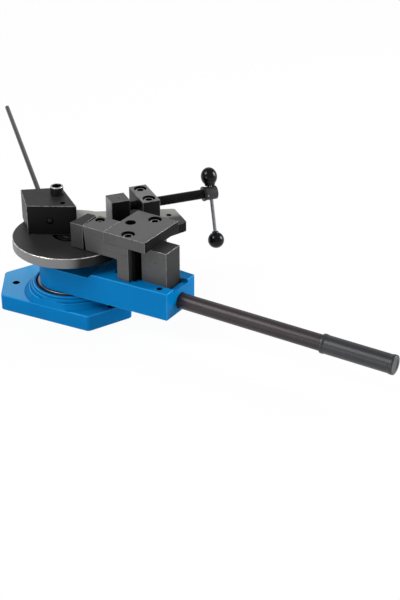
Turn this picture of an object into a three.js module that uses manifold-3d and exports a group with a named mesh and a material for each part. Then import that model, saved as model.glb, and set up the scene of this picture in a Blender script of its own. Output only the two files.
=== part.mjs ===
// Manual bender for flat, square and round stock, in its separate pieces.
// Millimetres, +Z up. The origin is on the pivot axis, in the plane of the base's underside,
// and +X runs along the swing arm and its lever. Three groups have a frame of their own:
//   base   turned a little about the pivot
//   vice   turned about the pivot, with +X along the clamping screw, out to its handle
//   stop   turned about the mouth of its bore, with +X along the rod

import * as THREE from 'three';
import { mergeVertices } from 'three/addons/utils/BufferGeometryUtils.js';
import Module from 'manifold-3d';

const wasm = await Module();
wasm.setup();

// ---------------- Clearances ----------------
const CLEAR = 0.3;         // between faces that rest on each other
const FIT = 0.3;           // all round a shaft, shank or tongue in its hole
const EDGE = 1;            // chamfer of a machined edge

// ---------------- Base casting ----------------
const BASE = {
  height: 27, halfFlat: 82, halfTip: 120.5, halfWidth: 69.5, corner: 6, shiftX: -11, shiftY: -1.5, turn: 5.5,
  wall: 9, skin: 9, padRadius: 40, ribWidth: 7,
};
const BASE_HOLES = { leftInset: 37.5, rightInset: 23.5, y: 23, radius: 5.5, padRadius: 14 };
const BOSS = { height: 18, foot: 79, step: 70, rim: 64, recessRadius: 59.5, recessDepth: 9 };
const BOSS_TOP = BASE.height + BOSS.height;

// ---------------- Swing arm ----------------
const ARM = { lift: 2, height: 46, hubHeight: 39, hubRadius: 52, end: 210, endHalfWidth: 39.5 };
const ARM_STEP = { start: 68, run: 6 };
const CHANNEL = { start: 100, endWall: 9, near: -21, far: 20, depth: 12, lipDrop: 5 };
const CORE = { wall: 8, roof: 25, bushWall: 11, endWall: 11, rib: 7 };
const SOCKET = { depth: 100, wall: 6, height: 18.3 };
const TOP_TAPPED = { inset: 19.5, y: -29.4, radius: 4, depth: 18 };
const ARM_BOTTOM = BOSS_TOP + ARM.lift;
const HUB_TOP = ARM_BOTTOM + ARM.hubHeight;
const ARM_TOP = ARM_BOTTOM + ARM.height;
const CHANNEL_END = ARM.end - CHANNEL.endWall;
const CHANNEL_FLOOR = ARM_TOP - CHANNEL.depth;
const LEVER_HEIGHT = ARM_BOTTOM + SOCKET.height;

// ---------------- Pivot ----------------
const POST = { radius: 17, seat: 12, neck: 14 };
const THRUST_RING = { inner: 46, outer: 55.5 };
const BUSH_WALL = 3.7;
const HUB_WASHER = { radius: 34, thickness: 2 };
const TABLE_HUB = { radius: 40, height: 20.1 };
const WASHER_TOP = HUB_TOP + CLEAR + HUB_WASHER.thickness;

// ---------------- Table ----------------
const TABLE = { radius: 92, thickness: 17, recessRadius: 28, recessDepth: 9 };
const TAIL = { end: 189, halfWidth: 28, root: 45, rootHalfWidth: 72, corner: 4 };
const TAIL_HOLE = { x: 171, y: 7, radius: 4 };
const KING_WASHER = { radius: 25, thickness: 2 };
const KING_NUT = { radius: 22, thickness: 6, slots: 4, slotWidth: 5, slotDepth: 3 };
const TABLE_BOTTOM = WASHER_TOP + CLEAR + TABLE_HUB.height + CLEAR;
const TABLE_TOP = TABLE_BOTTOM + TABLE.thickness;

// ---------------- Cap screws and set screws ----------------
const M8 = { head: 6.5, height: 8, shank: 4, flats: 6 };
const M10 = { head: 8, height: 10, shank: 5, flats: 8 };
const M14 = { head: 10.5, height: 14, shank: 7, flats: 12 };
const COUNTERBORE = { play: 1, depth: 11 };
const SET_SCREW = { radius: 4, length: 12, flats: 4 };
const SMALL_SET_SCREW = { radius: 3, length: 14, flats: 3 };

// ---------------- Anvil block: plan corners and holes in the vice's frame ----------------
const ANVIL = {
  height: 49.7, corners: [[-63.3, 20.8], [9.8, -10.7], [9.8, 70.7], [-54.7, 86.7]],
  screw: { x: -5, y: 47.4, depth: 14 }, tapped: { x: -6.8, y: 10.3, depth: 20 },
};

// ---------------- Stop rod ----------------
const STOP = { radius: 4, length: 535, turn: 136.8, mouthX: -23.7, mouthY: -19.3, height: 24, inset: 0.4 };
const STOP_MOUTH = { radius: 5.6, depth: 3 };
const STOP_SCREW_AT = 36;

// ---------------- Vice, in its own frame ----------------
const VICE_TURN = 54;
const JAW = { start: 66, end: 97, halfWidth: 16, height: 48.7 };
const NUT_BLOCK = { start: 112, end: 141.5, halfWidth: 34, height: 48.7, screwInset: 15, screwY: 20.5, grip: 13 };
const SCREW = { height: 31, radius: 8, nose: 6, noseDepth: 18, end: 237, groove: 4.4, grooveInset: 13 };
const JAW_PIN = { radius: 2, sink: 1.5, flats: 2 };
const HUB = { grip: 5.7, beyond: 15, wall: 2.9, collarWall: 3.9, collarWidth: 3.2 };
const HUB_PIN = { radius: 2, inset: 3.1 };
const TEE = { radius: 3, inset: 9.7, tilt: 17.6, down: 79, up: 27 };
const KNOB = { radius: 12.5, stretch: 1.12, neck: 5, reach: 12, bite: 3, arcs: 9 };
const SCREW_AXIS = TABLE_TOP + SCREW.height;
const VICE_BOTTOM = TABLE_TOP + CLEAR;
const GROOVE_AT = JAW.end - SCREW.grooveInset;
const HUB_START = SCREW.end - HUB.grip;
const HUB_END = SCREW.end + HUB.beyond;
const HUB_RADIUS = SCREW.radius + FIT + HUB.wall;
const HUB_PIN_AT = HUB_START + HUB_PIN.inset;
const TEE_AT = HUB_END - TEE.inset;

// ---------------- Support block, gib and spacer in the arm's channel ----------------
const SUPPORT = { length: 45.8, underPlate: 18.3, far: 17.3, rise: 56.7 };
const GIB = { thickness: 2.1, drop: 0.3, screwInsets: [13.3, 33.3], screwHeight: 6 };
const SPACER = { start: 142, thickness: 4, near: -30, far: 6, gap: 1 };
const GIB_SCREW_HEIGHT = CHANNEL_FLOOR + GIB.screwHeight;

// ---------------- Bending slide ----------------
const SLIDE = { lift: 1.5, near: -37.5, seam: 7, far: 56, lower: 22.2, plate: 18, plateStart: 94, plateEnd: 170 };
const BAR = { slope: 5, legEnd: 139 };
const CARRIER = { start: 118, end: 148 };
const TIP = { start: 31, end: 54.2, backStart: 33.6, backEnd: 49.8, back: 5 };
const TANG = { depth: 19.5, width: 14, height: 16, middle: -5.6, lift: 12, root: 5 };
const TIP_SCREW = { inset: 10.4, counterbore: 9, length: 22 };
const PLATE_SCREWS = { front: { x: 131, y: -24.4 }, rear: { x: 136, y: 41.4 }, length: 37 };
const PLATE_HOLE = { x: 110.2, y: 12.1, radius: 7 };
const SUPPORT_START = SLIDE.plateEnd - SUPPORT.underPlate;
const GIB_SCREW_X = GIB.screwInsets.map((inset) => SUPPORT_START + inset);
const BAR_START = TIP.end + CLEAR;
const TIP_SCREW_X = BAR_START + TIP_SCREW.inset;
const BAR_BOTTOM = TABLE_TOP + SLIDE.lift;
const BAR_TOP = BAR_BOTTOM + SLIDE.lower;
const PLATE_BOTTOM = BAR_TOP + CLEAR;
const PLATE_TOP = PLATE_BOTTOM + SLIDE.plate;

// ---------------- Lever ----------------
const LEVER = { radius: 12.5, end: 566 };
const GRIP = { length: 116, overhang: 5, wall: 2.2 };
const LEVER_SCREW = { inset: 30, length: 5 };

// ---------------- Finishes ----------------
const ENAMEL = { color: 0x0073b4, metalness: 0.1, roughness: 0.42 };
const DARK_STEEL = { color: 0x3a3b3d, metalness: 0.6, roughness: 0.5 };
const BLACK_STEEL = { color: 0x1b1b1d, metalness: 0.55, roughness: 0.42 };
const BRIGHT_STEEL = { color: 0xb9bcc2, metalness: 0.9, roughness: 0.3 };
const BRONZE = { color: 0xa9793f, metalness: 0.85, roughness: 0.4 };
const PLASTIC = { color: 0x0d0d0f, metalness: 0, roughness: 0.16 };
const GRIP_SLEEVE = { color: 0x1e1f22, metalness: 0.1, roughness: 0.45 };

// ================= Shapes =================

const RAD = Math.PI / 180;
const RIM = 56;            // sides of the table
const FINE = 36;           // sides of a large round piece
const MEDIUM = 20;         // sides of the lever, the hub and the knobs
const COARSE = 14;         // sides of a screw or a hole

// A closed three.js geometry as a solid that can be joined and cut.
function solid(geometry) {
  const bare = geometry.index ? geometry.toNonIndexed() : geometry.clone();
  bare.deleteAttribute('normal');
  bare.deleteAttribute('uv');
  const merged = mergeVertices(bare, 1e-4);
  return new wasm.Manifold(new wasm.Mesh({
    numProp: 3,
    vertProperties: new Float32Array(merged.attributes.position.array),
    triVerts: new Uint32Array(merged.index.array),
  }));
}

function toGeometry(body) {
  const mesh = body.getMesh();
  const geometry = new THREE.BufferGeometry();
  geometry.setAttribute('position', new THREE.BufferAttribute(mesh.vertProperties, 3));
  geometry.setIndex(new THREE.BufferAttribute(mesh.triVerts, 1));
  return geometry;
}

function placed(body, matrix) {
  return solid(toGeometry(body).applyMatrix4(matrix));
}

function moved(body, x, y, z = 0) {
  return placed(body, new THREE.Matrix4().makeTranslation(x, y, z));
}

function box(x0, x1, y0, y1, z0, z1) {
  const geometry = new THREE.BoxGeometry(x1 - x0, y1 - y0, z1 - z0);
  return solid(geometry.translate((x0 + x1) / 2, (y0 + y1) / 2, (z0 + z1) / 2));
}

// A polygon with each corner cut back by `size`: a flat cut, or an arc of `steps` chords.
function cornered(points, size, steps = 1) {
  const outline = points.flatMap((point, i) => {
    const here = new THREE.Vector2(...point);
    const before = new THREE.Vector2(...points.at(i - 1)).sub(here).setLength(size).add(here);
    const after = new THREE.Vector2(...points[(i + 1) % points.length]).sub(here).setLength(size).add(here);
    return new THREE.QuadraticBezierCurve(before, here, after).getPoints(steps);
  });
  return new THREE.Shape(outline);
}

function rectangle(x0, x1, y0, y1) {
  return [[x0, y0], [x1, y0], [x1, y1], [x0, y1]];
}

// A straight prism on a plan outline, its two ends chamfered by `edge`.
function prism(shape, z0, z1, edge = 0, curveSegments = FINE) {
  const geometry = new THREE.ExtrudeGeometry(shape, {
    depth: z1 - z0 - 2 * edge,
    curveSegments,
    bevelEnabled: edge > 0,
    bevelThickness: edge,
    bevelSize: edge,
    bevelOffset: -edge,
    bevelSegments: 1,
  });
  return solid(geometry.translate(0, 0, z0 + edge));
}

// The same, on an outline drawn in X and Z and carried across from y0 to y1.
function crosswise(shape, y0, y1, edge = 0) {
  return placed(prism(shape, -y1, -y0, edge), new THREE.Matrix4().makeRotationX(Math.PI / 2));
}

// A machined block: all twelve edges have the same small chamfer.
function block(x0, x1, y0, y1, z0, z1) {
  return prism(cornered(rectangle(x0, x1, y0, y1), EDGE), z0, z1, EDGE);
}

// A turned solid about the Z axis. The profile's [radius, height] pairs climb the outside.
function lathe(profile, sides = FINE) {
  const points = profile.map(([r, z]) => new THREE.Vector2(r, z));
  return solid(new THREE.LatheGeometry(points, sides).rotateX(Math.PI / 2));
}

function cylinder(radius, z0, z1, edge = 0, sides = COARSE) {
  const rounded = [[radius - edge, z0], [radius, z0 + edge], [radius, z1 - edge], [radius - edge, z1]];
  const square = [[radius, z0], [radius, z1]];
  return lathe([[0, z0], ...(edge ? rounded : square), [0, z1]], sides);
}

function ring(inner, outer, z0, z1, edge = 0.5, sides = FINE) {
  return lathe([
    [inner, z0], [outer - edge, z0], [outer, z0 + edge],
    [outer, z1 - edge], [outer - edge, z1], [inner, z1], [inner, z0],
  ], sides);
}

// Pieces turned about Z are laid down along X, or across along Y.
function alongX(body, x, y, z) {
  return placed(body, new THREE.Matrix4().makeRotationY(Math.PI / 2).setPosition(x, y, z));
}

function alongY(body, x, y, z) {
  return placed(body, new THREE.Matrix4().makeRotationX(-Math.PI / 2).setPosition(x, y, z));
}

function cutAll(body, cutters) {
  return cutters.reduce((left, cutter) => left.subtract(cutter), body);
}

function hexagon(flats) {
  const radius = flats / 2 / Math.cos(Math.PI / 6);
  const corner = (_, i) => new THREE.Vector2(radius, 0).rotateAround(new THREE.Vector2(), i * Math.PI / 3);
  return new THREE.Shape(Array.from({ length: 6 }, corner));
}

// ================= Screws =================

// A socket cap screw whose head sits on z = 0, with its shank below.
function capScrew(size, length) {
  const bevel = 0.7;
  const body = lathe([
    [0, -length], [size.shank - bevel, -length], [size.shank, -length + bevel], [size.shank, 0],
    [size.head, 0], [size.head, size.height - bevel], [size.head - bevel, size.height], [0, size.height],
  ], COARSE);
  return body.subtract(prism(hexagon(size.flats), size.height / 2, size.height + 1));
}

// The hole for it: clear round the shank, and a counterbore above z = 0 where the head is sunk.
function screwHole(size, length, sunk = 0) {
  const hole = cylinder(size.shank + FIT, -length, 1);
  return sunk ? hole.add(cylinder(size.head + COUNTERBORE.play, 0, sunk + 1)) : hole;
}

// A headless set screw that ends at z = 0 and has its socket at the top.
function setScrew(size, length = size.length) {
  const body = cylinder(size.radius, 0, length, 0.5);
  return body.subtract(prism(hexagon(size.flats), length - Math.min(4, length - 2), length + 1));
}

function setScrewHole(size, depth) {
  return cylinder(size.radius + FIT, 0, depth);
}

// ================= Base and pivot =================

function baseOutline(inset = 0) {
  const { halfTip, halfFlat, halfWidth, corner, shiftX, shiftY } = BASE;
  const run = halfTip - halfFlat;
  const slope = Math.hypot(run, halfWidth);
  const tip = halfTip - inset * slope / halfWidth;
  const side = halfWidth - inset;
  const flat = tip - side * run / halfWidth;
  const corners = [[-tip, 0], [-flat, -side], [flat, -side], [tip, 0], [flat, side], [-flat, side]];
  return cornered(corners.map(([x, y]) => [x + shiftX, y + shiftY]), corner, 4);
}

function baseHolePlaces() {
  const { leftInset, rightInset, y } = BASE_HOLES;
  const right = BASE.halfTip - rightInset;
  const places = [[leftInset - BASE.halfTip, -y], [right, -y], [right, y]];
  return places.map(([px, py]) => [px + BASE.shiftX, py + BASE.shiftY]);
}

// Three ribs run right across under the plate: two from corner to corner, and one between them.
function baseRibs(top) {
  const lean = Math.atan2(BASE.halfWidth, BASE.halfFlat);
  const ribs = [lean, Math.PI / 2, Math.PI - lean].map((turn) => {
    const rib = new THREE.BoxGeometry(3 * BASE.halfTip, BASE.ribWidth, top + 2);
    return solid(rib.rotateZ(turn).translate(BASE.shiftX, BASE.shiftY, top / 2));
  });
  return ribs.reduce((all, rib) => all.add(rib));
}

// The boss climbs from a hollow fillet at its foot, in three rounded steps, to the rim of the recess.
function bossProfile() {
  const { foot, step, rim, recessRadius, recessDepth, height } = BOSS;
  const under = BASE.height - 2;
  const first = BASE.height + height / 3;
  const second = BASE.height + 2 * height / 3;
  const middle = (step + rim) / 2;
  return [
    [0, under], [foot, under], [foot - 1, BASE.height + 0.3], [foot - 4.5, BASE.height + 1.2],
    [step + 2, first - 3], [step, first], [step - 1, first + 2], [middle + 1, first + 3],
    [middle, second], [middle - 1, second + 1.5], [rim + 0.8, second + 2.3],
    [rim, BOSS_TOP - 1.2], [rim - 1.2, BOSS_TOP], [recessRadius, BOSS_TOP],
    [recessRadius, BOSS_TOP - recessDepth], [0, BOSS_TOP - recessDepth],
  ];
}

function baseCasting() {
  const roof = BASE.height - BASE.skin;
  const cavity = cutAll(prism(baseOutline(BASE.wall), -1, roof), [
    cylinder(BASE.padRadius, -2, BASE.height, 0, FINE),
    baseRibs(roof),
    ...baseHolePlaces().map(([x, y]) => moved(cylinder(BASE_HOLES.padRadius, -2, BASE.height), x, y)),
  ]);
  const plate = prism(baseOutline(), 0, BASE.height, 1.5).subtract(cavity);
  const boss = lathe(bossProfile()).intersect(prism(baseOutline(), 0, BOSS_TOP + 1));
  return cutAll(plate.add(boss), [
    cylinder(POST.radius + FIT, POST.seat, BOSS_TOP, 0, FINE),
    ...baseHolePlaces().map(([x, y]) => moved(cylinder(BASE_HOLES.radius, -1, BASE.height + 1), x, y)),
  ]);
}

function kingPost() {
  const foot = POST.seat + CLEAR;
  const top = TABLE_TOP - CLEAR;
  return lathe([
    [0, foot], [POST.radius - 1, foot], [POST.radius, foot + 1], [POST.radius, WASHER_TOP],
    [POST.neck, WASHER_TOP], [POST.neck, top - 1.5], [POST.neck - 1.5, top], [0, top],
  ]);
}

function thrustRing() {
  const floor = BOSS_TOP - BOSS.recessDepth;
  return ring(THRUST_RING.inner, THRUST_RING.outer, floor + CLEAR, ARM_BOTTOM - CLEAR, 0.8);
}

function tableHub() {
  const bottom = WASHER_TOP + CLEAR;
  return ring(POST.neck + FIT, TABLE_HUB.radius, bottom, bottom + TABLE_HUB.height, 1.5);
}

function kingWasher() {
  const bottom = TABLE_TOP - TABLE.recessDepth + CLEAR;
  return ring(POST.neck + FIT, KING_WASHER.radius, bottom, bottom + KING_WASHER.thickness, 0.4);
}

function kingNut() {
  const bottom = TABLE_TOP - TABLE.recessDepth + CLEAR + KING_WASHER.thickness + CLEAR;
  const nut = ring(POST.neck + FIT, KING_NUT.radius, bottom, bottom + KING_NUT.thickness, 0.8);
  const slots = Array.from({ length: KING_NUT.slots }, (_, i) => {
    const slot = new THREE.BoxGeometry(2 * KING_NUT.slotDepth, KING_NUT.slotWidth, 4 * KING_NUT.thickness);
    return solid(slot.translate(KING_NUT.radius, 0, bottom).rotateZ(2 * Math.PI * (i + 0.5) / KING_NUT.slots));
  });
  return cutAll(nut, slots);
}

// ================= Table and anvil, in the vice's frame =================

function nutBlockScrewPlaces() {
  const { start, screwInset, screwY } = NUT_BLOCK;
  return [-1, 1].map((side) => [start + screwInset, side * screwY]);
}

function table() {
  const disc = new THREE.Shape().absarc(0, 0, TABLE.radius, 0, 2 * Math.PI);
  const { root, end, rootHalfWidth, halfWidth, corner } = TAIL;
  const tail = cornered([
    [0, -rootHalfWidth], [root, -rootHalfWidth], [end, -halfWidth],
    [end, halfWidth], [root, rootHalfWidth], [0, rootHalfWidth],
  ], corner, 3);
  const plate = prism(disc, TABLE_BOTTOM, TABLE_TOP, 1.5, RIM).add(prism(tail, TABLE_BOTTOM, TABLE_TOP, 1.5));
  const through = TABLE.thickness + 1;
  return cutAll(plate, [
    cylinder(POST.neck + FIT, TABLE_BOTTOM - 1, TABLE_TOP, 0, FINE),
    cylinder(TABLE.recessRadius, TABLE_TOP - TABLE.recessDepth, TABLE_TOP + 1, 0, FINE),
    moved(cylinder(TAIL_HOLE.radius, TABLE_BOTTOM - 1, TABLE_TOP + 1), TAIL_HOLE.x, TAIL_HOLE.y),
    moved(screwHole(M14, through), ANVIL.screw.x, ANVIL.screw.y, TABLE_TOP),
    ...nutBlockScrewPlaces().map(([x, y]) => moved(screwHole(M10, through), x, y, TABLE_TOP)),
  ]);
}

// Takes a solid from the stop rod's frame to the vice's.
function fromStopToVice(body) {
  const stop = new THREE.Matrix4().makeRotationZ(STOP.turn * RAD);
  stop.setPosition(STOP.mouthX, STOP.mouthY, TABLE_TOP + STOP.height);
  return placed(body, stop.premultiply(new THREE.Matrix4().makeRotationZ(-VICE_TURN * RAD)));
}

function anvilBlock() {
  const top = VICE_BOTTOM + ANVIL.height;
  const { screw, tapped } = ANVIL;
  const rodBore = alongX(cylinder(STOP.radius + FIT, -40, 120), 0, 0, 0);
  const rodMouth = alongX(cylinder(STOP_MOUTH.radius, -40, STOP_MOUTH.depth), 0, 0, 0);
  const lockHole = alongY(setScrewHole(SET_SCREW, 80), STOP_SCREW_AT, STOP.radius - 1, 0);
  return cutAll(prism(cornered(ANVIL.corners, EDGE), VICE_BOTTOM, top, EDGE), [
    moved(screwHole(M14, ANVIL.height + 1), screw.x, screw.y, top),
    moved(setScrewHole(SET_SCREW, 80), tapped.x, tapped.y, top - tapped.depth),
    fromStopToVice(rodBore),
    fromStopToVice(rodMouth),
    fromStopToVice(lockHole),
  ]);
}

function anvilCapScrew() {
  const seat = VICE_BOTTOM + ANVIL.height + CLEAR;
  const length = seat - TABLE_TOP + ANVIL.screw.depth;
  return moved(capScrew(M14, length), ANVIL.screw.x, ANVIL.screw.y, seat);
}

function anvilSetScrew() {
  const floor = VICE_BOTTOM + ANVIL.height - ANVIL.tapped.depth;
  return moved(setScrew(SET_SCREW), ANVIL.tapped.x, ANVIL.tapped.y, floor + CLEAR);
}

// ================= Stop rod, in its own frame =================

function stopRod() {
  return alongX(cylinder(STOP.radius, 0, STOP.length, 1.2), STOP.inset, 0, 0);
}

function stopLockScrew() {
  return alongY(setScrew(SET_SCREW), STOP_SCREW_AT, STOP.radius + CLEAR, 0);
}

// ================= Vice, in its own frame =================

function nutBlock() {
  const { start, end, halfWidth, height } = NUT_BLOCK;
  const top = VICE_BOTTOM + height;
  const seat = top - COUNTERBORE.depth;
  return cutAll(block(start, end, -halfWidth, halfWidth, VICE_BOTTOM, top), [
    alongX(cylinder(SCREW.radius + FIT, 0, 2 * end), 0, 0, SCREW_AXIS),
    ...nutBlockScrewPlaces().map(([x, y]) => moved(screwHole(M10, height, COUNTERBORE.depth), x, y, seat)),
  ]);
}

function nutBlockScrew([x, y]) {
  const seat = VICE_BOTTOM + NUT_BLOCK.height - COUNTERBORE.depth + CLEAR;
  return moved(capScrew(M10, seat - TABLE_TOP + NUT_BLOCK.grip), x, y, seat);
}

function movingJaw() {
  const top = VICE_BOTTOM + JAW.height;
  const socket = cylinder(SCREW.nose + FIT, JAW.end - SCREW.noseDepth - CLEAR, 2 * JAW.end);
  return cutAll(block(JAW.start, JAW.end, -JAW.halfWidth, JAW.halfWidth, VICE_BOTTOM, top), [
    alongX(socket, 0, 0, SCREW_AXIS),
    moved(cylinder(JAW_PIN.radius + FIT, SCREW_AXIS, top + 1), GROOVE_AT, 0),
  ]);
}

// It stands in the groove of the screw's nose, so that the screw pulls the jaw back.
function jawRetainingScrew() {
  const bottom = SCREW_AXIS + SCREW.groove + CLEAR;
  const top = VICE_BOTTOM + JAW.height - JAW_PIN.sink;
  return moved(setScrew(JAW_PIN, top - bottom), GROOVE_AT, 0, bottom);
}

function viceScrew() {
  const { nose, groove, radius, end } = SCREW;
  const tip = JAW.end - SCREW.noseDepth;
  const half = JAW_PIN.radius + FIT;
  const shoulder = JAW.end + CLEAR;
  const body = lathe([
    [0, tip], [nose - 0.6, tip], [nose, tip + 0.6], [nose, GROOVE_AT - half], [groove, GROOVE_AT - half],
    [groove, GROOVE_AT + half], [nose, GROOVE_AT + half], [nose, shoulder], [radius - 1, shoulder],
    [radius, shoulder + 1], [radius, end - 1], [radius - 1, end], [0, end],
  ], COARSE);
  return alongX(body, 0, 0, SCREW_AXIS).subtract(hubPinHole());
}

function hubPinHole() {
  return alongY(cylinder(HUB_PIN.radius + FIT, -30, 30), HUB_PIN_AT, 0, SCREW_AXIS);
}

function hubPin() {
  const half = HUB_RADIUS - 0.4;
  return alongY(cylinder(HUB_PIN.radius, -half, half, 0.3), HUB_PIN_AT, 0, SCREW_AXIS);
}

function screwCollar() {
  const end = HUB_START - CLEAR;
  const bore = SCREW.radius + FIT;
  const body = ring(bore, bore + HUB.collarWall, end - HUB.collarWidth, end, 0.6, MEDIUM);
  return alongX(body, 0, 0, SCREW_AXIS);
}

// The tee bar leans, in a plane square to the screw, with its lower end toward the front.
function alongTee(body) {
  return placed(body, new THREE.Matrix4().makeRotationX(-TEE.tilt * RAD).setPosition(TEE_AT, 0, SCREW_AXIS));
}

function screwHub() {
  const socket = SCREW.radius + FIT;
  const floor = SCREW.end + CLEAR;
  const body = lathe([
    [socket, HUB_START], [HUB_RADIUS - 0.6, HUB_START], [HUB_RADIUS, HUB_START + 0.6],
    [HUB_RADIUS, HUB_END - 1.8], [HUB_RADIUS - 1.8, HUB_END], [0, HUB_END],
    [0, floor], [socket, floor], [socket, HUB_START],
  ], MEDIUM);
  const teeHole = alongTee(cylinder(TEE.radius + FIT, -30, 30));
  return cutAll(alongX(body, 0, 0, SCREW_AXIS), [teeHole, hubPinHole()]);
}

function teeBar() {
  return alongTee(cylinder(TEE.radius, -TEE.down - KNOB.bite, TEE.up + KNOB.bite, 0.5));
}

// A ball about z = 0 with a short neck below it, that ends `neckEnd` from the ball's centre.
function knob(stretch, neckEnd) {
  const { radius, neck, arcs, bite } = KNOB;
  const start = Math.asin(neck / radius);
  const arc = Array.from({ length: arcs }, (_, i) => {
    const turn = Math.PI - start - (Math.PI - start) * i / arcs;
    return [radius * Math.sin(turn), stretch * radius * Math.cos(turn)];
  });
  const ball = lathe([[0, -neckEnd], [neck, -neckEnd], ...arc, [0, stretch * radius]], MEDIUM);
  return ball.subtract(cylinder(TEE.radius + FIT, -2 * neckEnd, bite + CLEAR));
}

function lowerKnob() {
  const over = new THREE.Matrix4().makeRotationX(Math.PI).setPosition(0, 0, -TEE.down);
  return alongTee(placed(knob(1, TEE.up - KNOB.reach), over));
}

function upperKnob() {
  return alongTee(moved(knob(KNOB.stretch, TEE.up - KNOB.reach), 0, 0, TEE.up));
}

// ================= Swing arm =================

// A round hub whose two straight sides run tangent to it and close in to a square end.
function armOutline(inset = 0, endInset = 0) {
  const radius = ARM.hubRadius - inset;
  const end = ARM.end - endInset;
  const half = ARM.endHalfWidth - inset;
  const tangent = Math.atan2(half, end) + Math.acos(radius / Math.hypot(end, half));
  const shape = new THREE.Shape();
  shape.moveTo(end, -half);
  shape.lineTo(end, half);
  shape.absarc(0, 0, radius, tangent, 2 * Math.PI - tangent);
  return shape;
}

// The underside is cored out between the skirt, the bush's wall and the lever socket.
function armCore() {
  const roof = ARM_BOTTOM + CORE.roof;
  const bush = POST.radius + FIT + BUSH_WALL + FIT;
  const boss = LEVER.radius + FIT + SOCKET.wall;
  const rib = ARM.end - SOCKET.depth;
  return cutAll(prism(armOutline(CORE.wall, CORE.endWall), ARM_BOTTOM - 1, roof, 0, MEDIUM), [
    cylinder(bush + CORE.bushWall, ARM_BOTTOM - 2, HUB_TOP, 0, MEDIUM),
    alongX(cylinder(boss, 0, ARM.end, 0, MEDIUM), 0, 0, LEVER_HEIGHT),
    box(0, ARM.end, -boss, boss, LEVER_HEIGHT, HUB_TOP),
    box(rib - CORE.rib, rib, -ARM.hubRadius, ARM.hubRadius, ARM_BOTTOM - 2, HUB_TOP),
  ]);
}

function swingArmCasting() {
  const { start, near, far } = CHANNEL;
  const above = ARM_TOP + 5;
  const ramp = ARM_STEP.start + ARM_STEP.run;
  const overHub = new THREE.Shape([
    [-ARM.end, HUB_TOP], [ARM_STEP.start, HUB_TOP], [ramp, ARM_TOP], [ramp, above], [-ARM.end, above],
  ].map(([x, z]) => new THREE.Vector2(x, z)));
  const gibScrewHole = setScrewHole(SMALL_SET_SCREW, 60);
  return cutAll(prism(armOutline(), ARM_BOTTOM, ARM_TOP, 1.2, MEDIUM), [
    crosswise(overHub, -ARM.end, ARM.end),
    armCore(),
    cylinder(POST.radius + FIT + BUSH_WALL + FIT, 0, ARM_TOP, 0, FINE),
    box(start, CHANNEL_END, near, far, CHANNEL_FLOOR, above),
    box(CHANNEL_END - 1, ARM.end + 1, near, far, ARM_TOP - CHANNEL.lipDrop, above),
    alongX(cylinder(LEVER.radius + FIT, ARM.end - SOCKET.depth, ARM.end + 1, 0, MEDIUM), 0, 0, LEVER_HEIGHT),
    moved(cylinder(TOP_TAPPED.radius, ARM_TOP - TOP_TAPPED.depth, above), ARM.end - TOP_TAPPED.inset, TOP_TAPPED.y),
    moved(setScrewHole(SET_SCREW, LEVER_HEIGHT), ARM.end - LEVER_SCREW.inset, 0),
    ...GIB_SCREW_X.map((x) => alongY(gibScrewHole, x, far - 1, GIB_SCREW_HEIGHT)),
  ]);
}

function hubBush() {
  const inner = POST.radius + FIT;
  return ring(inner, inner + BUSH_WALL, ARM_BOTTOM + CLEAR, HUB_TOP - CLEAR, 0.6);
}

function hubWasher() {
  return ring(POST.radius + FIT, HUB_WASHER.radius, HUB_TOP + CLEAR, WASHER_TOP, 0.4);
}

function leverRod() {
  const start = ARM.end - SOCKET.depth + CLEAR;
  return alongX(cylinder(LEVER.radius, start, LEVER.end, 1.5, MEDIUM), 0, 0, LEVER_HEIGHT);
}

function leverGrip() {
  const bore = LEVER.radius + FIT;
  const floor = LEVER.end + CLEAR;
  const end = LEVER.end + GRIP.overhang;
  const start = end - GRIP.length;
  const radius = bore + GRIP.wall;
  const body = lathe([
    [bore, start], [radius - 0.8, start], [radius, start + 0.8], [radius, start + 5], [radius - 0.6, start + 6],
    [radius - 0.6, end - 7], [radius, end - 6], [radius, end - 2.5], [radius - 2.5, end], [0, end],
    [0, floor], [bore, floor], [bore, start],
  ], MEDIUM);
  return alongX(body, 0, 0, LEVER_HEIGHT);
}

function leverLockScrew() {
  const top = LEVER_HEIGHT - LEVER.radius - CLEAR;
  const over = new THREE.Matrix4().makeRotationX(Math.PI).setPosition(ARM.end - LEVER_SCREW.inset, 0, top);
  return placed(setScrew(SET_SCREW, LEVER_SCREW.length), over);
}

// ================= In the arm's channel =================

function supportBlock() {
  const top = ARM_TOP + SUPPORT.rise;
  const end = SUPPORT_START + SUPPORT.length;
  return block(SUPPORT_START, end, CHANNEL.near + FIT, SUPPORT.far, CHANNEL_FLOOR + CLEAR, top);
}

function channelGib() {
  const far = CHANNEL.far - CLEAR;
  const bottom = CHANNEL_FLOOR + CLEAR;
  return box(CHANNEL.start + FIT, CHANNEL_END - FIT, far - GIB.thickness, far, bottom, ARM_TOP - GIB.drop);
}

function gibScrew(x) {
  return alongY(setScrew(SMALL_SET_SCREW), x, CHANNEL.far, GIB_SCREW_HEIGHT);
}

// A plate on edge, with a foot that drops into the channel.
function spacerPlate() {
  const { start, thickness, near, far, gap } = SPACER;
  const seat = ARM_TOP + CLEAR;
  const plate = box(start, start + thickness, near, far, seat, BAR_TOP - gap);
  const foot = box(start, start + thickness, CHANNEL.near + FIT, far, CHANNEL_FLOOR + CLEAR, seat + 1);
  return plate.add(foot);
}

// ================= Bending slide =================

// The slide's pieces share a tongue that runs in the channel, just clear of its floor.
function tongue(x0, x1, y0, y1) {
  return box(x0, x1, y0, y1, CHANNEL_FLOOR + 2 * CLEAR, ARM_TOP + CLEAR + 5);
}

// The tang of the tip, or with some `play` the pocket for it.
function tang(start, play = 0) {
  const end = BAR_START + TANG.depth + play;
  const half = TANG.width / 2 + play;
  const bottom = BAR_BOTTOM + TANG.lift;
  const top = bottom + TANG.height;
  return box(start, end, TANG.middle - half, TANG.middle + half, bottom - play, top + play);
}

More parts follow.
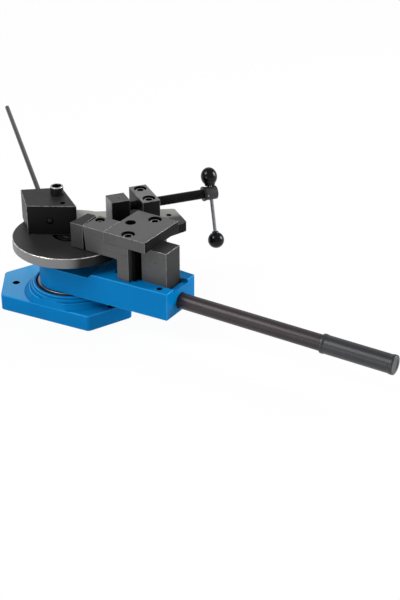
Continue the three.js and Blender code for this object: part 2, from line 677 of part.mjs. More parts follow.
function fingerBar() {
  const { slope, legEnd } = BAR;
  const legStart = CARRIER.start;
  const seat = ARM_TOP + CLEAR;
  const step = SLIDE.plateStart - CLEAR;
  const side = crosswise(cornered([
    [BAR_START + slope, BAR_BOTTOM], [legStart, BAR_BOTTOM], [legStart, seat], [legEnd, seat],
    [legEnd, BAR_TOP], [step, BAR_TOP], [step, PLATE_TOP], [BAR_START, PLATE_TOP],
  ], EDGE), SLIDE.near, SLIDE.seam, EDGE);
  const tipSeat = PLATE_TOP - TIP_SCREW.counterbore;
  const { front, length } = PLATE_SCREWS;
  return cutAll(side.add(tongue(legStart, legEnd, CHANNEL.near + FIT, SLIDE.seam)), [
    tang(TIP.backEnd, FIT),
    moved(screwHole(M8, TIP_SCREW.length + 1, TIP_SCREW.counterbore), TIP_SCREW_X, TANG.middle, tipSeat),
    moved(screwHole(M10, length), front.x, front.y, PLATE_BOTTOM),
  ]);
}

function tipInsert() {
  const { start, end, backStart, backEnd, back } = TIP;
  const corners = [[start, SLIDE.near], [end, SLIDE.near], [backEnd, back], [backStart, back]];
  const body = prism(cornered(corners, EDGE), BAR_BOTTOM, PLATE_TOP, EDGE);
  const seat = PLATE_TOP - TIP_SCREW.counterbore;
  const hole = moved(screwHole(M8, TIP_SCREW.length + 1), TIP_SCREW_X, TANG.middle, seat);
  return body.add(tang(backEnd - TANG.root)).subtract(hole);
}

function tipClampScrew() {
  const seat = PLATE_TOP - TIP_SCREW.counterbore + CLEAR;
  return moved(capScrew(M8, TIP_SCREW.length), TIP_SCREW_X, TANG.middle, seat);
}

function slideCarrier() {
  const { start, end } = CARRIER;
  const near = SLIDE.seam + CLEAR;
  const body = block(start, end, near, SLIDE.far, ARM_TOP + CLEAR, BAR_TOP);
  const reach = CHANNEL.far - CLEAR - GIB.thickness - FIT;
  const { rear, length } = PLATE_SCREWS;
  return body.add(tongue(start + EDGE, end - EDGE, near, reach))
    .subtract(moved(screwHole(M10, length), rear.x, rear.y, PLATE_BOTTOM));
}

function topPlate() {
  const { plateStart, plateEnd, near, far, plate } = SLIDE;
  const seat = PLATE_TOP - COUNTERBORE.depth;
  const screws = [PLATE_SCREWS.front, PLATE_SCREWS.rear];
  return cutAll(block(plateStart, plateEnd, near, far, PLATE_BOTTOM, PLATE_TOP), [
    moved(cylinder(PLATE_HOLE.radius, PLATE_BOTTOM - 1, PLATE_TOP + 1), PLATE_HOLE.x, PLATE_HOLE.y),
    ...screws.map(({ x, y }) => moved(screwHole(M10, plate, COUNTERBORE.depth), x, y, seat)),
  ]);
}

function plateScrew({ x, y }) {
  return moved(capScrew(M10, PLATE_SCREWS.length), x, y, PLATE_TOP - COUNTERBORE.depth + CLEAR);
}

// ================= The machine =================

function piece(group, name, body, finish) {
  const mesh = new THREE.Mesh(toGeometry(body), new THREE.MeshStandardMaterial({ ...finish, flatShading: true }));
  mesh.name = name;
  group.add(mesh);
}

const bender = new THREE.Group();

const base = new THREE.Group();
base.rotation.z = BASE.turn * RAD;
bender.add(base);
piece(base, 'base_casting', baseCasting(), ENAMEL);

const arm = new THREE.Group();
bender.add(arm);
piece(arm, 'king_post', kingPost(), BRIGHT_STEEL);
piece(arm, 'thrust_ring', thrustRing(), BRIGHT_STEEL);
piece(arm, 'swing_arm_casting', swingArmCasting(), ENAMEL);
piece(arm, 'hub_bush', hubBush(), BRONZE);
piece(arm, 'hub_washer', hubWasher(), BRIGHT_STEEL);
piece(arm, 'table_hub', tableHub(), DARK_STEEL);
piece(arm, 'king_washer', kingWasher(), BRIGHT_STEEL);
piece(arm, 'king_nut', kingNut(), BRIGHT_STEEL);
piece(arm, 'lever_rod', leverRod(), BLACK_STEEL);
piece(arm, 'lever_grip', leverGrip(), GRIP_SLEEVE);
piece(arm, 'lever_lock_screw', leverLockScrew(), BLACK_STEEL);
piece(arm, 'support_block', supportBlock(), DARK_STEEL);
piece(arm, 'channel_gib', channelGib(), DARK_STEEL);
GIB_SCREW_X.forEach((x, i) => piece(arm, `gib_screw_${i + 1}`, gibScrew(x), BLACK_STEEL));
piece(arm, 'spacer_plate', spacerPlate(), DARK_STEEL);
piece(arm, 'finger_bar', fingerBar(), DARK_STEEL);
piece(arm, 'tip_insert', tipInsert(), DARK_STEEL);
piece(arm, 'tip_clamp_screw', tipClampScrew(), BLACK_STEEL);
piece(arm, 'slide_carrier', slideCarrier(), DARK_STEEL);
piece(arm, 'top_plate', topPlate(), DARK_STEEL);
piece(arm, 'top_plate_screw_front', plateScrew(PLATE_SCREWS.front), BLACK_STEEL);
piece(arm, 'top_plate_screw_rear', plateScrew(PLATE_SCREWS.rear), BLACK_STEEL);

const vice = new THREE.Group();
vice.rotation.z = VICE_TURN * RAD;
bender.add(vice);
piece(vice, 'table', table(), DARK_STEEL);
piece(vice, 'anvil_block', anvilBlock(), BLACK_STEEL);
piece(vice, 'anvil_cap_screw', anvilCapScrew(), BLACK_STEEL);
piece(vice, 'anvil_set_screw', anvilSetScrew(), BLACK_STEEL);
piece(vice, 'nut_block', nutBlock(), BLACK_STEEL);
nutBlockScrewPlaces().forEach((at, i) => piece(vice, `nut_block_screw_${i + 1}`, nutBlockScrew(at), BLACK_STEEL));
piece(vice, 'moving_jaw', movingJaw(), BLACK_STEEL);
piece(vice, 'jaw_retaining_screw', jawRetainingScrew(), BLACK_STEEL);
piece(vice, 'vice_screw', viceScrew(), BLACK_STEEL);
piece(vice, 'screw_collar', screwCollar(), BLACK_STEEL);
piece(vice, 'screw_hub', screwHub(), BLACK_STEEL);
piece(vice, 'hub_pin', hubPin(), BLACK_STEEL);
piece(vice, 'tee_bar', teeBar(), BRIGHT_STEEL);
piece(vice, 'lower_knob', lowerKnob(), PLASTIC);
piece(vice, 'upper_knob', upperKnob(), PLASTIC);

const stop = new THREE.Group();
stop.position.set(STOP.mouthX, STOP.mouthY, TABLE_TOP + STOP.height);
stop.rotation.z = STOP.turn * RAD;
bender.add(stop);
piece(stop, 'stop_rod', stopRod(), BRIGHT_STEEL);
piece(stop, 'stop_lock_screw', stopLockScrew(), BLACK_STEEL);

export default bender;
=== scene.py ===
# %% [markdown]
# # A bench bender for flat, square and round stock
#
# The machine is a blue cast base with a swing arm under a round steel table. A clamp block and a screw vice
# stand on the table, and a heavy bending finger slides on the arm, which a long lever swings. The packed
# model holds every solid piece at its real place. This lesson dresses it: it builds finer meshes for the
# pieces that show, gives each finish its own material, and sets a camera and lights.

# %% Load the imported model
import math

import bmesh
import bpy
from mathutils import Matrix, Vector


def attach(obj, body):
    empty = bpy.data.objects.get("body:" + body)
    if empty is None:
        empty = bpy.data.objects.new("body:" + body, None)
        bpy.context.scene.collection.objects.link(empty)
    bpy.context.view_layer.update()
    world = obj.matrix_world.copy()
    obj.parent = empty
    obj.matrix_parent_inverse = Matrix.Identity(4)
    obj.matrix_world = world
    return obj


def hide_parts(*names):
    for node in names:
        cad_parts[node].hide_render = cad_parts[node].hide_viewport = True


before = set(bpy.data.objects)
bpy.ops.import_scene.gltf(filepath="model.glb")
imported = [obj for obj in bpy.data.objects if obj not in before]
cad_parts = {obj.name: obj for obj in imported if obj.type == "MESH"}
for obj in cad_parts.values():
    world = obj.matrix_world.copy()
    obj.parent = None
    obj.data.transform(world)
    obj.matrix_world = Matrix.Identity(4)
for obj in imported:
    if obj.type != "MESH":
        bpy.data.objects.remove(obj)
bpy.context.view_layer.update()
scene = bpy.context.scene
scene.view_settings.view_transform = "Standard"

# %% [markdown]
# ## Camera
#
# The photo was taken from the front right, a little above the machine. Its angle was found by fitting the
# machine's own parallel edges, so the camera needs no shift. A long lens keeps the lever from looking
# stretched. `to_track_quat` turns a viewing direction into a rotation, which is easier than three angles.

# %% Camera
LENS = 78
CAMERA_PLACE = (1.1720, -1.4753, 1.0221)
VIEW_DIRECTION = Vector((-0.4677, 0.7441, -0.4772))

camera_data = bpy.data.cameras.new("camera")
camera_data.lens = LENS
camera = bpy.data.objects.new("camera", camera_data)
scene.collection.objects.link(camera)
camera.location = CAMERA_PLACE
camera.rotation_euler = VIEW_DIRECTION.to_track_quat("-Z", "Y").to_euler()
scene.camera = camera
print("camera", tuple(round(c, 3) for c in camera.location), "lens", camera_data.lens)

# %% [markdown]
# ## Shader maths
#
# A material is a small sum: a base colour, plus a little noise, times a mask. Drawn as nodes that gets
# long, so one class wraps a socket and lets Python's own signs add the Math nodes. `Finish` holds one
# material and adds any other node by its type, its settings and what goes into its sockets.

# %% A socket that can be added and multiplied


class Socket:
    """One output of a node, used like a number in an expression."""

    def __init__(self, finish, output):
        self.finish = finish
        self.output = output

    def maths(self, operation, *terms):
        return self.finish.node("Math", {"operation": operation}, dict(enumerate(terms)))

    def __add__(self, other):
        return self.maths("ADD", self, other)

    def __sub__(self, other):
        return self.maths("SUBTRACT", self, other)

    def __rsub__(self, other):
        return self.maths("SUBTRACT", other, self)

    def __mul__(self, other):
        return self.maths("MULTIPLY", self, other)

    __radd__ = __add__


class Finish:
    """One material: its node tree, and the method that adds a node of any type to it."""

    def __init__(self, name):
        self.material = bpy.data.materials.new(name)
        self.material.use_nodes = True
        self.tree = self.material.node_tree
        self.surface = self.tree.nodes["Principled BSDF"]

    def node(self, kind, settings=None, inputs=None, output=0):
        made = self.tree.nodes.new("ShaderNode" + kind)
        for name, value in (settings or {}).items():
            if name == "stops":
                self.set_stops(made.color_ramp, value)
            else:
                setattr(made, name, value)
        for key, value in (inputs or {}).items():
            self.feed(made.inputs[key], value)
        return Socket(self, made.outputs[output])

    def set_stops(self, ramp, stops):
        while len(ramp.elements) < len(stops):
            ramp.elements.new(0.5)
        for element, (position, shade) in zip(ramp.elements, stops):
            element.position = position
            element.color = (shade, shade, shade, 1)

    def feed(self, socket, value):
        if isinstance(value, Socket):
            self.tree.links.new(value.output, socket)
        elif socket.type == "RGBA":
            socket.default_value = (*value, 1)
        else:
            socket.default_value = value

    def set(self, **values):
        for name, value in values.items():
            self.feed(self.surface.inputs[name.replace("_", " ")], value)
        return self


print("shader maths ready")

# %% [markdown]
# ## Helpers for the finishes
#
# Colours were read from the photo as ordinary hex codes. Blender works in linear light, so `tint`
# converts a code first. Patterns are placed with object coordinates: every mesh here lies at its place
# with its object at the origin, so one metre of pattern is one metre of machine on every piece.

# %% Colour and pattern helpers
COLOUR_A, COLOUR_B, COLOUR_RESULT = 6, 7, 2  # sockets of the Mix node when it mixes colours


def tint(code):
    """A hex colour as linear red, green and blue."""
    parts = [int(code[i:i + 2], 16) / 255 for i in (1, 3, 5)]
    return tuple(p / 12.92 if p <= 0.04045 else ((p + 0.055) / 1.055) ** 2.4 for p in parts)


def mixed(finish, first, second, factor):
    return finish.node("Mix", {"data_type": "RGBA"}, {
        "Factor": factor, COLOUR_A: first, COLOUR_B: second}, COLOUR_RESULT)


def position(finish, degrees=0):
    """Where a point lies on the machine, in metres, in a frame turned about Z."""
    place = finish.node("TexCoord", output="Object")
    if degrees:
        place = finish.node("VectorRotate", {"rotation_type": "Z_AXIS"}, {
            "Vector": place, "Angle": -math.radians(degrees)})
    return place


def climb(finish, value, start, end):
    """0 on the near side of `start`, 1 past `end`, and a smooth climb between them."""
    return finish.node("MapRange", {"interpolation_type": "SMOOTHSTEP"}, {
        "Value": value, "From Min": start, "From Max": end})


def noise(finish, scale, detail=3, stretch=(1, 1, 1), degrees=0):
    """Cloudy noise, `scale` features to the metre, drawn out where `stretch` is small."""
    place = position(finish, degrees)
    if stretch != (1, 1, 1):
        place = finish.node("VectorMath", {"operation": "MULTIPLY"}, {0: place, 1: stretch})
    return finish.node("TexNoise", None, {"Vector": place, "Scale": scale, "Detail": detail})


def ramp(finish, value, *stops):
    return finish.node("ValToRGB", {"stops": stops}, {"Fac": value})


def bumped(finish, height, strength, depth):
    return finish.node("Bump", None, {"Strength": strength, "Distance": depth, "Height": height})


print("tint('#808080') =", tuple(round(c, 3) for c in tint("#808080")))

# %% [markdown]
# ## Blue enamel
#
# The base and the arm are sand castings under a thick, glossy machine enamel. The paint smooths the grain
# of the sand but does not hide it, so the bump mixes a soft roll of some 8 mm with a fine orange peel.
# The colour drifts a little. A thin clear coat of low index mirrors hardly anything head-on and a good
# deal at a low angle, which keeps the sides deep blue. The base's flat top and its ring crests take a
# paler copy of the enamel, a painted sheen, paler still toward the base's free end, where the coat is
# heavier too. The bevels take a lighter blue, a painted highlight.

# %% Blue enamel
PAINT_SPECK = "#0A3E63"
SHEEN_START, SHEEN_END = 0.05, -0.06


def enamel(name, body, light, sheen=None):
    finish = Finish(name)
    coat = 0.12
    cloud = noise(finish, 14, 4)
    peel = noise(finish, 900, 2)
    roll = noise(finish, 120, 3)
    speck = ramp(finish, noise(finish, 420, 2), (0.70, 0), (0.78, 1))
    colour = mixed(finish, tint(body), tint(light), cloud)
    colour = mixed(finish, colour, tint(PAINT_SPECK), speck * 0.35)
    # Painted sheen: toward the base's free end the colour turns paler and the coat grows.
    if sheen:
        across = finish.node("SeparateXYZ", None, {"Vector": position(finish)})
        far = climb(finish, across, SHEEN_START, SHEEN_END)
        colour = mixed(finish, colour, tint(sheen), far)
        coat = far * 0.8 + coat
    return finish.set(
        Base_Color=colour,
        Roughness=cloud * 0.12 + peel * 0.08 + 0.3,
        Specular_IOR_Level=0.03,
        Normal=bumped(finish, roll * 0.7 + peel * 0.3, 0.3, 0.0005),
        Coat_Weight=coat,
        Coat_IOR=1.22,
        Coat_Roughness=0.16,
    ).material


BLUE_ENAMEL = enamel("blue_enamel", "#0066A5", "#0075B2")
# A paler copy of the enamel for the base's top and ring crests: a painted sheen.
SHEEN_ENAMEL = enamel("blue_enamel_painted_sheen", "#006CAE", "#0F7CBC", sheen="#2F90C8")
# A lighter blue for the bevels: a painted highlight.
HIGHLIT_ENAMEL = enamel("blue_enamel_painted_highlight", "#0E7CC0", "#2A90D0")
print(BLUE_ENAMEL.name, SHEEN_ENAMEL.name, HIGHLIT_ENAMEL.name)

# %% [markdown]
# ## Ground and blackened steel
#
# The finger, its plate and the support block are milled and ground flat, then oiled, so they show fine
# lines along one direction. Stretched noise makes those lines: it is squeezed across them and drawn out
# along them. The clamp block and the vice are blackened, with hardly any lines. Every machined piece has
# a thin brighter line on its edges, a painted highlight, and the insides of holes are painted near black,
# a painted shade. Some tops and sides take lighter or darker copies of their steel, painted light and shade.

# %% Machined steel
MM = 0.001
VICE_TURN = 54
CUTTER_LINES = (6, 620, 620)
LEVER_LINES = (4, 500, 500)
OIL_SPOT = "#141312"
LINE_DEPTH = 0.00003


def even(scale):
    return (scale, scale, scale)


def machined(name, dark, light, roughness, metal, degrees=0, depth=1.0, pattern=CUTTER_LINES, gloss=0.3):
    """Steel with cutter lines or an even grain, a soft cloud of oil stain and a few darker spots."""
    finish = Finish(name)
    lines = noise(finish, 1, 2, pattern, degrees)
    stain = noise(finish, 38, 4)
    spots = ramp(finish, noise(finish, 260, 3), (0.62, 0), (0.76, 1))
    shade = lines * 0.55 + stain * 0.6 - 0.12
    colour = mixed(finish, tint(dark), tint(light), shade)
    colour = mixed(finish, colour, tint(OIL_SPOT), spots * 0.4)
    return finish.set(
        Base_Color=colour,
        Roughness=roughness + lines * 0.14 + stain * 0.1 - 0.1,
        Metallic=metal,
        Specular_IOR_Level=gloss,
        Normal=bumped(finish, lines, 0.5, LINE_DEPTH * depth),
    ).material


def edge_highlight(name, dark, light, roughness=0.42):
    """A painted highlight along an edge, broken up by noise."""
    finish = Finish(name)
    gaps = ramp(finish, noise(finish, 160, 3), (0.36, 0), (0.54, 1))
    return finish.set(
        Base_Color=mixed(finish, tint(dark), tint(light), gaps),
        Roughness=roughness - gaps * 0.14,
        Metallic=0.6,
    ).material


def table_steel(name, dark, light, pale, axis, pale_from, pale_to, side_from=-900, side_to=-800):
    """Dark steel with a painted light: pale toward one end along an axis and toward one side across it."""
    finish = Finish(name)
    place = position(finish, axis)
    along = finish.node("SeparateXYZ", None, {"Vector": place})
    across = finish.node("SeparateXYZ", None, {"Vector": place}, 1)
    lines = noise(finish, 1, 2, CUTTER_LINES, VICE_TURN)
    stain = noise(finish, 30, 4)
    bright = climb(finish, along + stain * 0.02, pale_from * MM, pale_to * MM)
    bright = bright * climb(finish, across + stain * 0.01, side_from * MM, side_to * MM)
    colour = mixed(finish, tint(dark), tint(light), lines * 0.5 + stain * 0.6 - 0.1)
    colour = mixed(finish, colour, tint(pale), bright)
    return finish.set(
        Base_Color=colour,
        Roughness=lines * 0.14 + stain * 0.1 + 0.34,
        Metallic=0.35,
        Specular_IOR_Level=0.3,
        Normal=bumped(finish, lines, 0.5, LINE_DEPTH),
    ).material


GROUND_STEEL = machined("ground_steel", "#404040", "#5E5E5E", 0.44, 0.4)
# The edge materials paint a highlight on the bevels.
GROUND_EDGE = edge_highlight("ground_steel_edge", "#5E5E5D", "#7C7C7B", 0.46)
TIP_STEEL = machined("tip_steel", "#303030", "#464646", 0.44, 0.35)
TIP_TOP_STEEL = machined("tip_top_steel", "#161616", "#262626", 0.46, 0.15, gloss=0.15)
# Painted shade: near black for the table's holes, the tail's sides and the plate's right end.
SHADE_STEEL = machined("steel_painted_shade", "#040404", "#161616", 0.6, 0, depth=2, pattern=even(400), gloss=0.1)
# Painted shadow and shade: the support block's top under the plate and its right face.
SHADED_GROUND_STEEL = machined("ground_steel_painted_shade", "#202020", "#323232", 0.5, 0.2, gloss=0.2)
# Painted light: the table top pales toward the tail.
TABLE_STEEL = table_steel("table_steel", "#232323", "#3A3A3A", "#A0A098", VICE_TURN, 20, 66, -4, 14)
# A painted highlight on the rim's bevel.
TABLE_EDGE = edge_highlight("table_steel_edge", "#A8A29C", "#EFEAE4", 0.36)
# Painted reflection and shade: the side wall pale on the camera's left and dark on its right.
TABLE_SIDE = table_steel("table_side_steel", "#121211", "#222221", "#787879", 32, 38, 8)
BLACK_STEEL = machined("black_steel", "#050506", "#0F0F10", 0.42, 0.05, VICE_TURN, gloss=0.15)
# A painted highlight on the bevels of the black steel.
BLACK_EDGE = edge_highlight("black_steel_edge", "#4E4E4F", "#7E7E7F")
# A lighter copy of the black steel for the clamp block's top: a painted light.
ANVIL_LIT_TOP = machined("black_steel_painted_top_light", "#1A1A1B", "#2A2A2B", 0.46, 0.1, VICE_TURN, gloss=0.15)
# The grain of these tops is their own; their lighter tone is a painted light from above.
JAW_LIT_TOP = machined("jaw_top_grain_and_painted_light", "#303031", "#58585A", 0.5, 0.3, VICE_TURN, 3, even(500))
NUT_LIT_TOP = machined("nut_block_top_grain_and_painted_light", "#4C4C4E", "#7E7E80", 0.5, 0.3, VICE_TURN, 3, even(500))
# The clamp face is ground bright; its pale colour is partly a painted reflection.
JAW_FACE = machined("jaw_face_steel", "#77777A", "#A0A0A2", 0.42, 0.4, VICE_TURN)
# Painted shade: near black for the insides of holes and the dark gaps.
HOLE_SHADE = machined("hole_painted_shade", "#030303", "#080808", 0.55, 0, gloss=0.05)
BRIGHT_STEEL = machined("bright_steel", "#77777B", "#98989C", 0.32, 0.95)
DARK_ROD_STEEL = machined("dark_rod_steel", "#29292C", "#3E3E42", 0.34, 0.6, pattern=even(500))
BAR_STEEL = machined("sliding_bar_steel", "#8A8A8E", "#B4B4B8", 0.2, 1.0, depth=0.5, pattern=even(500))
HUB_STEEL = machined("hub_steel", "#2E2E32", "#47474B", 0.42, 0.5, depth=2, pattern=even(420))
SCREW_STEEL = machined("screw_steel", "#161618", "#2C2C2F", 0.3, 0.5)
# Screw heads: a lighter top, a painted light, and a bright rim, a painted highlight.
SCREW_LIT_TOP = machined("screw_top_painted_light", "#747474", "#A4A4A4", 0.4, 0.5, pattern=even(400))
SCREW_RIM = edge_highlight("screw_rim", "#8E8E8E", "#D0D0CE", 0.36)
LEVER_STEEL = machined("lever_steel", "#2C2628", "#464042", 0.36, 0.5, depth=1.3, pattern=LEVER_LINES)
BRONZE = machined("bronze", "#8A6233", "#B98A4C", 0.36, 0.9)
print(len(bpy.data.materials), "materials so far")

# %% [markdown]
# ## Knobs and grip
#
# The ball knobs are moulded phenolic: jet black, with a polish that throws small sharp highlights. The
# grip is a dipped vinyl sleeve, softer and satin, so its highlight runs as one broad band along it.

# %% Plastic and vinyl


def moulded(name, dark, light, roughness, gloss, grain, depth):
    finish = Finish(name)
    cloud = noise(finish, 60, 3)
    skin = noise(finish, grain, 2)
    return finish.set(
        Base_Color=mixed(finish, tint(dark), tint(light), cloud),
        Roughness=roughness + skin * 0.08,
        Specular_IOR_Level=gloss,
        Normal=bumped(finish, skin, 0.3, depth),
    ).material


KNOB_PLASTIC = moulded("black_plastic", "#020203", "#070708", 0.12, 0.22, 300, 0.00002)
GRIP_RUBBER = moulded("grip_rubber", "#17181B", "#26272B", 0.34, 0.5, 1400, 0.0001)
print(KNOB_PLASTIC.name, GRIP_RUBBER.name)

# %% [markdown]
# ## Mesh helpers
#
# The machine was made by turning, milling and casting, and the meshes are made in the same three ways.
# `turned` spins a profile, `lofted` stacks outlines, and `carve` cuts or joins with exact Booleans. The
# edges are broken first, on the plain block, because a Bevel shrinks to nothing beside the tiny edges
# that a cut leaves. Holes come after, drilled with tools that carry their own chamfer. Each mesh has
# four material slots: its surface, its broken edges, the inside of its holes and its top. Sizes are in
# millimetres, as on a drawing, and become metres when the mesh is made.

# %% Turning and milling
TAU = 2 * math.pi
SURFACE, EDGE, INSIDE, TOP = SLOTS = 0, 1, 2, 3
FACING = 0.97  # a face looks one way when its normal has at least this much of it
LEANING = 0.15  # and it leans when it looks up by at least this much
SEAM_REACH = 1.5


def slotted(mesh):
    for _ in SLOTS:
        mesh.materials.append(None)
    return mesh


def new_piece(mesh):
    piece = bpy.data.objects.new("tool", mesh)
    scene.collection.objects.link(piece)
    return piece


def mesh_piece(vertices, faces):
    mesh = slotted(bpy.data.meshes.new("tool"))
    mesh.from_pydata([tuple(c * MM for c in v) for v in vertices], [], faces)
    mesh.update()
    return new_piece(mesh)


def turned(profile, sides=64):
    """A solid turned about Z. The profile's (radius, height) pairs climb the outside."""
    vertices, rings = [], []
    for radius, height in profile:
        if radius == 0:
            rings.append([len(vertices)] * sides)
            vertices.append((0, 0, height))
        else:
            rings.append(list(range(len(vertices), len(vertices) + sides)))
            vertices += [(radius * math.cos(TAU * i / sides), radius * math.sin(TAU * i / sides), height)
                         for i in range(sides)]
    faces = []
    for low, high in zip(rings, rings[1:]):
        for i in range(sides):
            j = (i + 1) % sides
            corners = [low[i], low[j], high[j], high[i]]
            face = [c for k, c in enumerate(corners) if c not in corners[:k]]
            if len(face) > 2:
                faces.append(face)
    return merged(mesh_piece(vertices, faces))


def merged(piece):
    """Joins vertices that lie on each other, as where a turned bore closes on itself."""
    work = bmesh.new()
    work.from_mesh(piece.data)
    bmesh.ops.remove_doubles(work, verts=work.verts, dist=1e-7)
    bmesh.ops.recalc_face_normals(work, faces=work.faces)
    work.to_mesh(piece.data)
    work.free()
    return piece


def lofted(layers):
    """Outlines of one length, each at its height, joined from the lowest up."""
    count = len(layers[0][0])
    vertices = [(x, y, z) for outline, z in layers for x, y in outline]
    top = len(vertices) - count
    faces = [list(reversed(range(count))), list(range(top, top + count))]
    for start in range(0, top, count):
        faces += [(start + i, start + (i + 1) % count, start + count + (i + 1) % count, start + count + i)
                  for i in range(count)]
    return mesh_piece(vertices, faces)


def milled(outline, low, high):
    """A plan outline, given anticlockwise, pushed up from one height to another."""
    return lofted([(outline, low), (outline, high)])


def assigned(piece, choose):
    """Puts each face in the slot that `choose` gives for it."""
    for face in piece.data.polygons:
        face.material_index = choose(face)
    return piece


def slanted(piece, flat=SURFACE):
    """Gives the faces that lean up, between upright and level, the slot of the broken edges and their painted
    highlight.
    """
    return assigned(piece, lambda face: EDGE if LEANING < face.normal.z < FACING else flat)


def topped(piece, facing=(0, 0, 1), slot=TOP):
    """Gives the faces that look one way, upward as a rule, a slot of their own."""
    way = Vector(facing)
    return assigned(piece, lambda face: slot if face.normal.dot(way) > FACING else face.material_index)


def flush(piece, height):
    """Takes the bright line off the edges at one height, where two pieces meet in one face."""
    def choose(face):
        at_seam = face.material_index == EDGE and abs(face.center.z - height * MM) < SEAM_REACH * MM
        return SURFACE if at_seam else face.material_index
    return assigned(piece, choose)


def rectangle(x0, x1, y0, y1):
    return [(x0, y0), (x1, y0), (x1, y1), (x0, y1)]


def eased(points, size, steps=5, closed=True):
    """The same outline or profile with each corner rounded, `size` back from the corner."""
    path, count = [], len(points)
    for i, point in enumerate(points):
        here = Vector(point)
        if not closed and i in (0, count - 1):
            path.append(tuple(here))
            continue
        before = Vector(points[i - 1]) - here
        after = Vector(points[(i + 1) % count]) - here
        start = here + before * min(size / before.length, 0.49)
        end = here + after * min(size / after.length, 0.49)
        for k in range(steps + 1):
            t = k / steps
            path.append(tuple(start * (1 - t) ** 2 + here * 2 * t * (1 - t) + end * t * t))
    return path


def ring(corners, ease, sides=96):
    """A closed profile with rounded corners, turned clear of the axis."""
    loop = eased(corners, ease, 3)
    return turned(loop + loop[:1], sides)


print("turning and milling are ready")

# %% Cutting, rounding and placing
BREAK_ANGLE = 35
CLEAR = 0.3  # the gap between two pieces that touch


def applied(piece):
    """Keeps what the modifiers made, and drops the modifiers."""
    bpy.context.view_layer.update()
    graph = bpy.context.evaluated_depsgraph_get()
    piece.data = bpy.data.meshes.new_from_object(piece.evaluated_get(graph))
    piece.modifiers.clear()
    return piece


def carve(piece, *tools, operation="DIFFERENCE"):
    for tool in tools:
        modifier = piece.modifiers.new("cut", "BOOLEAN")
        modifier.operation = operation
        modifier.solver = "EXACT"
        modifier.object = tool
    applied(piece)
    for tool in tools:
        bpy.data.objects.remove(tool)
    return piece


def placed(piece, matrix):
    piece.data.transform(matrix)
    piece.data.update()
    return piece


def at(x=0, y=0, z=0):
    return Matrix.Translation(Vector((x, y, z)) * MM)


def turn(axis, degrees):
    return Matrix.Rotation(math.radians(degrees), 4, axis)


def post(radius, low, high, x=0, y=0, sides=48):
    return placed(turned([(0, low), (radius, low), (radius, high), (0, high)], sides), at(x, y))


def bore(radius, low, high, x=0, y=0, sides=48, edge=0):
    """A round tool for drilling down. With an `edge`, its mouth at `high` has that chamfer."""
    mouth = [(radius, high)]
    if edge:
        mouth = [(radius, high - edge), (radius + edge, high), (radius + edge, high + 1)]
    tool = turned([(0, low), (radius, low)] + mouth + [(0, mouth[-1][1])], sides)
    return placed(slanted(tool, INSIDE), at(x, y))


def bore_x(radius, start, end, y, z, sides=48, edge=0):
    return placed(bore(radius, start, end, sides=sides, edge=edge), at(0, y, z) @ turn("Y", 90))


def bore_y(radius, start, end, x, z):
    return placed(bore(radius, start, end), at(x, 0, z) @ turn("X", -90))


def sunk_hole(place, top, mouth, depth, shank, low):
    """The two tools of a sunk cap screw's hole: its wide mouth and the shank's bore."""
    return bore(mouth, top - depth, top, *place, edge=0.4), bore(shank, low, top + 1, *place)


def sideways(outline, near, far):
    """An outline drawn in X and Z, carried across in Y."""
    return placed(milled(outline, -far, -near), turn("X", 90))


def broken(piece, width, segments=2):
    """Breaks the sharp edges of a plain block, before anything is cut from it."""
    bevel = piece.modifiers.new("broken edges", "BEVEL")
    bevel.width = width * MM
    bevel.segments = segments
    bevel.limit_method = "ANGLE"
    bevel.angle_limit = math.radians(BREAK_ANGLE)
    bevel.material = EDGE
    return applied(piece)


def shaded(piece, angle=50):
    """Smooth over the broken edges, sharp at the cut ones, and flat on the flat faces."""
    smooth(piece, angle)
    normals = piece.modifiers.new("flat faces stay flat", "WEIGHTED_NORMAL")
    normals.keep_sharp = True
    return piece


def smooth(piece, angle=32):
    piece.data.shade_smooth()
    piece.data.set_sharp_from_angle(angle=math.radians(angle))
    return piece


def fitted(piece, node, body, slot, *materials, name=None):
    """Names and paints a piece and puts it in its CAD node's place. The first material fills empty slots."""
    piece.name = piece.data.name = name or node + "_fine"
    for slot_index in SLOTS:
        piece.data.materials[slot_index] = materials[slot_index if slot_index < len(materials) else SURFACE]
    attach(piece, body)
    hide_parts(node)
    print(piece.name, "-", len(piece.data.polygons), "faces on", body)
    return piece


def span(node, turned_by=0):
    """A node's lowest and highest corners in millimetres, in a frame turned about Z."""
    back = turn("Z", -turned_by)
    points = [back @ v.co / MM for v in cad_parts[node].data.vertices]
    return [Vector(pick(p[i] for p in points) for i in range(3)) for pick in (min, max)]


TABLE_TOP = span("table")[1].z
print("table top at", round(TABLE_TOP, 2), "mm")

# %% [markdown]
# ## Base casting
#
# The base is a six-sided plate with a round boss that carries the arm, and the boss has three rings whose
# crests take the top's paler enamel, a painted highlight. The casting's corners are soft, so its outline and
# the boss's profile are eased before they are pushed up or spun. Underneath it is hollow, with three ribs
# and a pad round each bolt hole.

# %% Base casting
BASE_TURN = 5.5
BASE_SHIFT = (-11, -1.5)
BASE_TOP = 27
HALF_TIP, HALF_FLAT, HALF_WIDTH = 120.5, 82, 69.5
BOLT_HOLES = [(x + BASE_SHIFT[0], y + BASE_SHIFT[1]) for x, y in ((-83, -23), (97, -23), (97, 23))]
BOLT_RADIUS, BOLT_PAD, POST_SEAT, POST_PAD = 5.5, 14, 17.3, 40
BASE_WALL, BASE_ROOF, HALF_RIB = 9, 18, 3.5
CREST_FROM = 34.8


def base_outline(inset, ease=4.5):
    run = HALF_TIP - HALF_FLAT
    tip = HALF_TIP - inset * math.hypot(run, HALF_WIDTH) / HALF_WIDTH
    side = HALF_WIDTH - inset
    flat = tip - side * run / HALF_WIDTH
    corners = [(-tip, 0), (-flat, -side), (flat, -side), (tip, 0), (flat, side), (-flat, side)]
    return eased([(x + BASE_SHIFT[0], y + BASE_SHIFT[1]) for x, y in corners], ease, 8)


